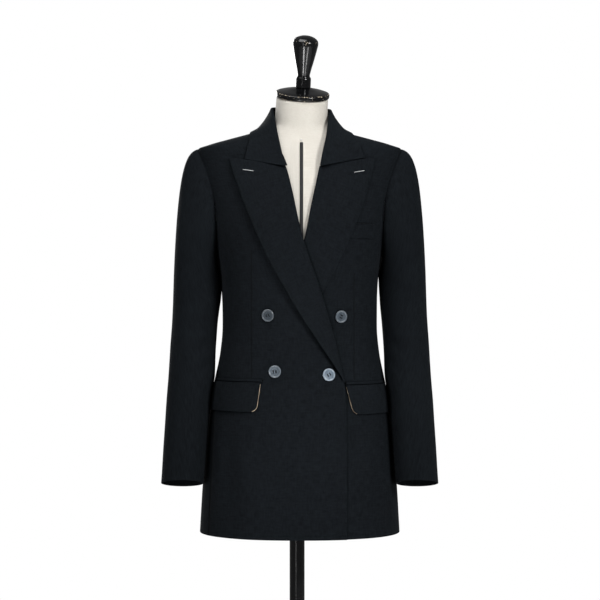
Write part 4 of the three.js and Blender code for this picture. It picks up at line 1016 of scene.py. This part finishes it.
# turned mesh from radius and height pairs, with faces closed at the axis; heights in mm
def lathe(name, profile, sides, place, mats, wear=None):
    bm = bmesh.new()
    rings = []
    for radius, height in profile:
        if radius == 0:
            rings.append([bm.verts.new((0, 0, height))])
            continue
        turns = [2 * math.pi * k / sides for k in range(sides)]
        rings.append([bm.verts.new((radius * math.cos(t), radius * math.sin(t), height)) for t in turns])
    for low, high in zip(rings, rings[1:]):
        for k in range(sides):
            n = (k + 1) % sides
            corners = [low[k % len(low)], low[n % len(low)], high[n % len(high)], high[k % len(high)]]
            bm.faces.new(list(dict.fromkeys(corners)))
    bmesh.ops.recalc_face_normals(bm, faces=bm.faces)
    mesh = bpy.data.meshes.new(name)
    bm.to_mesh(mesh)
    bm.free()
    if wear is not None:
        spots = np.empty(len(mesh.vertices) * 3)
        mesh.vertices.foreach_get("co", spots)
        spots = spots.reshape(-1, 3)
        values = wear(np.linalg.norm(spots[:, :2], axis=1), spots[:, 2])
        mesh.attributes.new("wear", "FLOAT", "POINT").data.foreach_set("value", values.astype("f4"))
    for mat in mats:
        mesh.materials.append(mat)
    mesh.shade_smooth()
    mesh.transform(place @ Matrix.Scale(mm, 4))
    return addObject(name, mesh)


# rounds the corners of a profile, so that turned edges catch the light
def rounded(profile, bevel):
    points = [np.array(p, float) for p in profile]
    out = [points[0]]
    for before, here, after in zip(points, points[1:], points[2:]):
        if here[0] == 0:
            out.append(here)
            continue
        toBefore, toAfter = before - here, after - here
        cut = min(bevel, 0.45 * np.linalg.norm(toBefore), 0.45 * np.linalg.norm(toAfter))
        start, end = here + unit(toBefore) * cut, here + unit(toAfter) * cut
        for t in (0.0, 0.33, 0.67, 1.0):
            out.append(start * (1 - t) ** 2 + 2 * here * t * (1 - t) + end * t * t)
    out.append(points[-1])
    return [tuple(p) for p in out]


# a smooth row of points through a profile
def flowing(profile, fine):
    points = np.array(profile, float)
    at = np.concatenate([[0], np.cumsum(np.linalg.norm(np.diff(points, axis=0), axis=1))])
    columns = {"at": at, "r": points[:, 0], "h": points[:, 1]}
    steps = np.linspace(0, at[-1], fine)
    return list(zip(curveOf(columns, "r", "at")(steps), curveOf(columns, "h", "at")(steps)))


# four-hole buttons with a raised rim, sewn through with dark thread
button = {"radius": 11.5, "thick": 3.4, "dish": 8.7, "depth": 1.0, "hole": 1.05, "offset": 2.35,
          "sides": 72, "holeSides": 20, "bevel": 0.7}
buttonPlaces = {
    "upper_right": {"x": -56.2, "z": 1075.4, "gap": 0.8, "lift": rightLift, "spin": 12, "tone": 0.44},
    "upper_left": {"x": 75.5, "z": 1072.5, "gap": 0.7, "lift": noLift, "spin": 65, "tone": 0.60},
    "lower_right": {"x": -44.4, "z": 971.4, "gap": -0.1, "lift": rightLift, "spin": 4, "tone": 0.74},
    "lower_left": {"x": 51.9, "z": 965.8, "gap": -0.1, "lift": rightLift, "spin": 28, "tone": 1.55},
}


def evaluatedMesh(made):
    return bpy.data.meshes.new_from_object(made.evaluated_get(bpy.context.evaluated_depsgraph_get()))


# stands a piece on a point of the body, facing out
def standing(point, normal):
    facing = Vector(normal.tolist()).to_track_quat("Z", "Y").to_matrix().to_4x4()
    return Matrix.Translation(Vector((point * mm).tolist())) @ facing


def drilledButton():
    r, top, dish, deep = button["radius"], button["thick"], button["dish"], button["depth"]
    profile = [(0, 0), (r - 2.2, 0), (r, 1.5), (r, top - 0.9), (r - 1.1, top), (dish + 1.3, top - 0.1),
               (dish, top - deep), (0, top - deep)]
    blank = lathe("buttonBlank", rounded(profile, button["bevel"]), button["sides"], Matrix(), [])
    drill = [(0, 0), (button["hole"], 0), (button["hole"], 6), (0, 6)]
    reach = button["offset"] * math.sqrt(2)
    drills = []
    for turn in np.radians((45, 135, 225, 315)):
        spot = Matrix.Translation((mm * reach * math.cos(turn), mm * reach * math.sin(turn), -mm))
        drills.append(lathe("drill", drill, button["holeSides"], spot, []))
        cut = blank.modifiers.new("hole", "BOOLEAN")
        cut.operation, cut.object, cut.solver = "DIFFERENCE", drills[-1], "EXACT"
    mesh = evaluatedMesh(blank)
    for used in (blank, *drills):
        bpy.data.objects.remove(used)
    mesh.set_sharp_from_angle(angle=math.radians(38))
    return mesh


buttonMesh = drilledButton()
buttonFrames = {}
for name, place in buttonPlaces.items():
    lift = place["gap"] + place["lift"](np.array(place["x"]), np.array(place["z"]))
    point, normal = bodySpot(turnOf(place["x"], place["z"]), place["z"], lift)
    buttonFrames[name] = standing(point, normal) @ Matrix.Rotation(math.radians(place["spin"]), 4, "Z")
    mesh = buttonMesh.copy()
    mesh.transform(buttonFrames[name])
    mesh.materials.clear()
    mesh.materials.append(makeHorn(f"horn_{name}", place["tone"], buttonFrames[name].translation))
    declareSolid(addObject(f"hornButton_{name}", mesh), f"button_{name}")
print("buttons ready", flush=True)

# padded torso of the dress form, from its floor up to the tilted neck
form = {
    "inset": {"z": [742, 850, 1053, 1195, 1330, 1372, 1396, 1425],
              "in": [9, 8, 7, 6.5, 6.5, 7.5, 7.5, 4.6]},
    "heights": [742, 748, 770, 810, 850, 890, 930, 970, 1008, 1053, 1090, 1130, 1165, 1195, 1230, 1260,
                1290, 1312, 1330, 1347, 1360, 1378, 1387, 1396, 1406, 1416],
    "floor": 735, "share": 0.9, "turns": 56, "meanRadius": 130,
    "neck": [(1428, 54.5, 40, 54.5), (1440, 51.5, 43, 52.5), (1456, 50, 46, 51.5), (1470, 49.4, 48, 50.6)],
    "neckX": 3.5,
    "top": {"x": 5, "z": 1487.6, "side": 49, "front": 49, "back": 49.5, "tilt": 18, "lean": 3.3},
    "slotHalf": 3.1, "slotTop": 1401, "slotX": 3.2, "slotRise": 0.5, "slotWall": 1.3,
    "slotPress": 0.35, "slotCloth": 1.0,
}
formInset = curveOf(form["inset"], "in")


def oval(x, side, front, back, turns):
    across, ahead = side * np.sin(np.radians(turns)), np.cos(np.radians(turns))
    return np.stack([x + across, np.where(ahead > 0, -front * ahead, -back * ahead), 0 * turns], -1)


def makeTorso():
    turns = np.arange(form["turns"]) * 360.0 / form["turns"]
    rings = [bodySpot(turns, 0 * turns + z, 0 * turns - formInset(z))[0] for z in form["heights"]]
    floor = rings[0] * [form["share"], form["share"], 0] + [0, 0, form["floor"]]
    middle = floor.mean(0)
    rings = [mix(middle, floor, share) for share in (0.25, 0.6, 0.94)] + [floor] + rings
    for z, side, front, back in form["neck"]:
        rings.append(oval(form["neckX"], side, front, back, turns) + [0, 0, z])
    top = form["top"]
    rim = oval(top["x"], top["side"], top["front"], top["back"], turns)
    tilt, lean = math.tan(math.radians(top["tilt"])), math.tan(math.radians(top["lean"]))
    for share, drop in ((1.0, 2.0), (1.0, 0.0), (0.93, 0.0), (0.5, 0.0)):
        ring = rim * [share, share, 1] + [top["x"] * (1 - share), 0, 0]
        height = ring[:, 1] * tilt - (ring[:, 0] - top["x"]) * lean
        rings.append(np.column_stack([ring[:, :2], top["z"] + height - drop]))
    count = form["turns"]
    vertices = np.concatenate(rings)
    ids = np.arange(len(vertices)).reshape(len(rings), count)
    around = np.roll(ids, -1, 1)
    faces = np.stack([ids[:-1], around[:-1], around[1:], ids[1:]], -1).reshape(-1, 4).tolist()
    faces += [ids[0][::-1].tolist(), ids[-1].tolist()]
    girth = np.radians(turns) * form["meanRadius"]
    uvs = np.column_stack([np.tile(girth, len(rings)), vertices[:, 2]])
    made = subdivide(meshObject("linenTorso", vertices, faces, [linenMat], uvs), 2)
    declareSolid(made, "form_torso")


makeTorso()

# strip down the centre front, its long edges pressed down
heights = np.array([z for z in form["heights"] if z < form["slotTop"]] + [form["slotTop"]], float)[:, None]
across = np.array([-1, -0.8, -0.45, -0.2, 0.2, 0.45, 0.8, 1.0])[None, :]
x = form["slotX"] + form["slotHalf"] * across + 0 * heights
lift = form["slotRise"] + form["slotWall"] - formInset(heights) - form["slotPress"] * np.abs(across) ** 4
points, normals = bodySpot(turnOf(x, heights), heights + 0 * x, lift)
# the strip's dark colour is painted shade for the recess down the form's front
strip, cut = clothWall("slotStrip", points, normals, form["slotCloth"], slotMat, pull=0.0)
declareCloth(strip, "form_slot")

# pin at the head of the strip
pin = {"z": 1405.5, "rise": 0.5, "sides": 24,
       "profile": [(0, 0), (1.7, 0), (1.75, 0.6), (1.3, 1.25), (0.6, 1.55), (0, 1.6)]}
point, normal = bodySpot(turnOf(form["slotX"], pin["z"]), pin["z"], pin["rise"] - formInset(pin["z"]))
pinPiece = lathe("slotPin", pin["profile"], pin["sides"], standing(point, normal), [pinMat])
declareSolid(pinPiece, "slot_pin")

# lacquered cap and finial, both leaning with the neck; they wear at the rim and the shoulder
cap = {"seat": 1488.15, "sides": 128, "bevel": 1.2, "profile": [
    (0, 0), (49, 0), (51, 1.6), (51.2, 7.4), (50.2, 9.4), (41, 12.2), (28, 14.8), (20, 17), (14.6, 18.4),
    (0, 18.4)]}
finial = {"bevel": 0.8, "fine": 48,
          "foot": [(0, 18.7), (14.2, 18.7), (14.6, 20.5), (14.4, 36), (13.4, 38.2), (11.8, 40.2)],
          "bulb": [(11.8, 40.2), (11.9, 42.5), (13.3, 50.5), (17, 66), (20.7, 82), (23.6, 96), (24.5, 102),
                   (23.6, 107), (19.5, 111.6), (13, 115), (6, 116.8), (0, 117.2)]}
tilt, lean = math.radians(form["top"]["tilt"]), math.radians(form["top"]["lean"])
capPlace = (Matrix.Translation((mm * form["top"]["x"], 0, mm * cap["seat"]))
            @ Euler((tilt, lean, 0)).to_matrix().to_4x4())


def capWear(radius, height):
    return np.exp(-((radius - 50) / 1.6) ** 2) * 1.2


def finialWear(radius, height):
    return np.exp(-((height - 106) / 6) ** 2) + 0.5 * np.exp(-((height - 37) / 2.5) ** 2)


lacquered = {
    "neckCap": ("neck_cap", rounded(cap["profile"], cap["bevel"]), capWear),
    "neckFinial": ("neck_finial", rounded(finial["foot"], finial["bevel"])[:-1]
                   + flowing(finial["bulb"], finial["fine"]), finialWear),
}
for name, (solid, profile, wear) in lacquered.items():
    declareSolid(lathe(name, profile, cap["sides"], capPlace, [lacquerMat], wear), solid)

# steel pole with turned-down ends, and the round base
stand = {
    "bevel": 2.0, "sides": 160,
    "pole": [(0, 46.3), (12.6, 46.3), (14.2, 48), (14.2, 60), (13.9, 60.6), (14.2, 61.2), (14.2, 400),
             (14.2, 733.2), (13.2, 734.7), (0, 734.7)],
    "base": [(0, 0), (188, 0), (190, 2), (190, 7), (187, 9.5), (150, 12), (80, 17), (40, 23), (28, 30),
             (24, 38), (24, 44), (22.5, 46), (0, 46)],
}
for name, x in (("pole", -5.0), ("base", 0.0)):
    profile = rounded(stand[name], stand["bevel"])
    made = lathe(f"stand_{name}", profile, stand["sides"], Matrix.Translation((mm * x, 0, 0)), [steelMat])
    declareSolid(made, f"form_{name}")
print("form and stand ready", flush=True)


# kinds of stitching: pitch, stitch length and thread radius in metres, slant in radians, unevenness, seed
stitching = {
    "bar": (0.00066, 0.0038, 0.00045, 1.25, 0.16, 11),
    "button": (0.0006, 0.0016, 0.00036, 0.0, 0.04, 3),
    "welt": (0.0013, 0.0014, 0.00045, 0.15, 0.1, 9),
    "tack": (0.0006, 0.0022, 0.0003, 1.4, 0.1, 5),
}
stitchSizes = {"Pitch": "Float", "Stitch Length": "Float", "Thread Radius": "Float", "Slant": "Float",
               "Unevenness": "Float", "Seed": "Int"}


# a tree that lays short stitches of thread along a drawn line
def stitchTree():
    tree = bpy.data.node_groups.new("stitchesAlongLine", "GeometryNodeTree")
    sockets = {"Geometry": "Geometry", **stitchSizes, "Thread": "Material"}
    for name, kind in sockets.items():
        tree.interface.new_socket(name, in_out="INPUT", socket_type=f"NodeSocket{kind}")
    tree.interface.new_socket("Geometry", in_out="OUTPUT", socket_type="NodeSocketGeometry")

    # adds a node, fed by the nodes before it, and gives its output of that name or number
    def step(kind, output, inputs, **settings):
        return addNode(tree, kind, inputs, **settings).outputs[output]

    given = addNode(tree, "NodeGroupInput").outputs
    line = step("GeometryNodeMeshToCurve", "Curve", {"Mesh": given["Geometry"]})
    spots = step("GeometryNodeResampleCurve", "Curve", {"Curve": line, "Length": given["Pitch"]},
                 mode="LENGTH")
    bead = step("GeometryNodeMeshUVSphere", "Mesh",
                {"Segments": 8, "Rings": 6, "Radius": given["Thread Radius"]})
    width = mathNode(tree, "MULTIPLY", given["Thread Radius"], 2.0)
    longer = mathNode(tree, "DIVIDE", given["Stitch Length"], width)
    scale = step("ShaderNodeCombineXYZ", "Vector", {"X": 1.0, "Y": 1.0, "Z": longer})
    stitch = step("GeometryNodeTransform", "Geometry", {"Geometry": bead, "Scale": scale})
    tangent = step("GeometryNodeInputTangent", "Tangent", {})
    along = step("FunctionNodeAlignRotationToVector", "Rotation", {"Vector": tangent}, axis="Z")
    jitter = step("FunctionNodeRandomValue", 1, {2: -1.0, 3: 1.0, "Seed": given["Seed"]}, data_type="FLOAT")
    lean = step("ShaderNodeCombineXYZ", "Vector",
                {"X": mulAdd(tree, jitter, given["Unevenness"], given["Slant"])})
    turned = step("FunctionNodeRotateRotation", "Rotation", {"Rotation": along, "Rotate By": lean},
                  rotation_space="LOCAL")
    laid = step("GeometryNodeInstanceOnPoints", "Instances",
                {"Points": spots, "Instance": stitch, "Rotation": turned})
    real = step("GeometryNodeRealizeInstances", "Geometry", {"Geometry": laid})
    painted = step("GeometryNodeSetMaterial", "Geometry", {"Geometry": real, "Material": given["Thread"]})
    addNode(tree, "NodeGroupOutput", {"Geometry": painted})
    return tree


stitches = stitchTree()


# turns drawn lines, each a list of points in metres, into stitched thread
def sewn(name, lines, mat, kind):
    edges = []
    start = 0
    for line in lines:
        edges += [(start + k, start + k + 1) for k in range(len(line) - 1)]
        start += len(line)
    mesh = bpy.data.meshes.new(name + "Line")
    mesh.from_pydata([tuple(point) for line in lines for point in line], edges, [])
    drawn = addObject(name + "Line", mesh)
    modifier = drawn.modifiers.new("stitches", "NODES")
    modifier.node_group = stitches
    values = dict(zip(stitchSizes, stitching[kind]), Thread=mat)
    for item in stitches.interface.items_tree:
        if item.in_out == "INPUT" and item.name in values:
            modifier[item.identifier] = values[item.name]
    result = evaluatedMesh(drawn)
    bpy.data.objects.remove(drawn)
    result.shade_smooth()
    if not result.materials:
        result.materials.append(mat)
    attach(addObject(name, result), "root")


# plain bars sewn on the lapels, by place across and height, with how far they lie off the body
bars = {
    "lapelBar_right": {"x": (-102.5, -84.5), "z": (1341.0, 1338.0), "lift": rightLift, "over": (8.0, 7.3)},
    "lapelBar_left": {"x": (99.8, 117.5), "z": (1337.5, 1341.0), "lift": noLift, "over": (4.2, 4.2)},
}
for name, bar in bars.items():
    x, z, over = (mix(*bar[key], np.linspace(0, 1, 12)) for key in ("x", "z", "over"))
    points = bodySpot(turnOf(x, z), z, bar["lift"](x, z) + over)[0]
    sewn(name, [(points * mm).tolist()], paleThread, "bar")

# two bars of thread through each button's holes, three strands to a bar, that dip at both ends
threadOver = {"rise": 0.35, "dip": 1.1, "apart": 0.5, "past": 0.1, "flat": 0.75}
for name, placed in buttonFrames.items():
    strands = []
    high = button["thick"] - button["depth"] + threadOver["rise"]
    low = high - threadOver["dip"]
    far, near = button["offset"] + threadOver["past"], button["offset"] * threadOver["flat"]
    for across in (-1, 1):
        for beside in (-1, 0, 1):
            x = across * button["offset"] + beside * threadOver["apart"]
            ends = [(x, -far, low), (x, -near, high), (x, near, high), (x, far, low)]
            strands.append([placed @ (Vector(end) * mm) for end in ends])
    sewn(f"buttonThread_{name}", strands, darkThread, "button")

# dark stitches along the mouth and the outer end of the breast pocket: stitching at the welt's end, and
# along the mouth painted shade that stands in for the shadow in the pocket's opening
drawn = {"past": 0.5, "short": 1, "over": 0.1, "points": 40}
outer, upper = welt["outer"] + drawn["past"], welt["top"] + drawn["past"]
mouth = np.array([(welt["inner"] + drawn["short"], upper), (outer, upper),
                  (outer, welt["bottom"] + drawn["short"])])
share = np.linspace(0, 1, drawn["points"])[:, None]
x, z = np.concatenate([mix(start, end, share) for start, end in zip(mouth, mouth[1:])]).T
points = bodySpot(turnOf(x, z), z, 0 * x + drawn["over"])[0]
sewn("weltStitchesAndMouthShade", [(points * mm).tolist()], darkThread, "welt")

# tacks at the front end of each pocket mouth
tack = {"past": 0.5, "before": 0.9, "over": 1.5, "points": 6}
for hand, side, liftAt in hands:
    end = flapEnds[hand]
    z = np.linspace(jet["bottom"] - tack["past"], jet["top"] + tack["past"], tack["points"]) - end["drop"]
    x = side * (end["jetReach"] - tack["before"]) + 0 * z
    points = bodySpot(turnOf(x, z), z, liftAt(x, z) + tack["over"])[0]
    sewn(f"pocketTack_{hand}", [(points * mm).tolist()], darkThread, "tack")
print("stitches ready", flush=True)

# pale floor, white surroundings and soft boxes
floor = lathe("paleFloor", [(0, -12), (2350, -12), (2380, -8), (2380, -4), (2350, 0), (0, 0)], 96,
              Matrix.Translation((0, 0, -0.0002)), [])
floorMat, floorTree, floorShader = newMaterial("paleFloor", Roughness=0.7)
mottle = noiseNode(floorTree, objectPlace(floorTree), 3.0)
paint = colourRamp(floorTree, mottle, [(0.3, (0.80, 0.80, 0.80)), (0.7, (0.84, 0.84, 0.84))])
feed(floorTree, floorShader, {"Base Color": paint})
floor.data.materials.append(floorMat)

world = bpy.data.worlds.new("whiteStudio")
scene.world = world
world.use_nodes = True
sky = world.node_tree
# white behind the coat, and dimmer as a light on it
seen = addNode(sky, "ShaderNodeLightPath").outputs["Is Camera Ray"]
strength = addNode(sky, "ShaderNodeMapRange", {
    "Value": seen, "From Min": 0.0, "From Max": 1.0, "To Min": 0.20, "To Max": 1.0}).outputs["Result"]
feed(sky, sky.nodes["Background"], {"Color": (1, 1, 1, 1), "Strength": strength})

# soft boxes: place, point aimed at, breadth and height, all in metres, then watts and spread in degrees
softBoxes = {
    "keyBox": ((1.80, -2.45, 2.40), (0, 0, 1.15), (0.75, 0.75), 87, 180),
    "stripBox": ((-0.85, -2.8, 1.22), (0, 0, 1.1), (0.10, 2.3), 9, 180),
    "backBox": ((-1.3, 2.7, 2.2), (0, 0, 1.1), (1.5, 1.5), 55, 180),
    "lowBoxLeft": ((-0.28, -0.99, 0.32), (0, 0, 1.56), (0.20, 1.0), 0.42, 25),
    "lowBoxRight": ((0.56, -0.86, 0.32), (0, 0, 1.56), (0.16, 1.0), 0.19, 25),
    "topBox": ((-0.5, -0.7, 3.2), (0, 0, 1.3), (1.3, 1.3), 36, 180),
}
for name, (at, aim, size, power, spread) in softBoxes.items():
    light = bpy.data.lights.new(name, "AREA")
    light.shape = "RECTANGLE"
    light.size, light.size_y = size
    light.energy = power
    light.spread = math.radians(spread)
    lamp = addObject(name, light)
    lamp.location = at
    lamp.rotation_euler = (Vector(aim) - Vector(at)).to_track_quat("-Z", "Y").to_euler()
print("studio ready", flush=True)
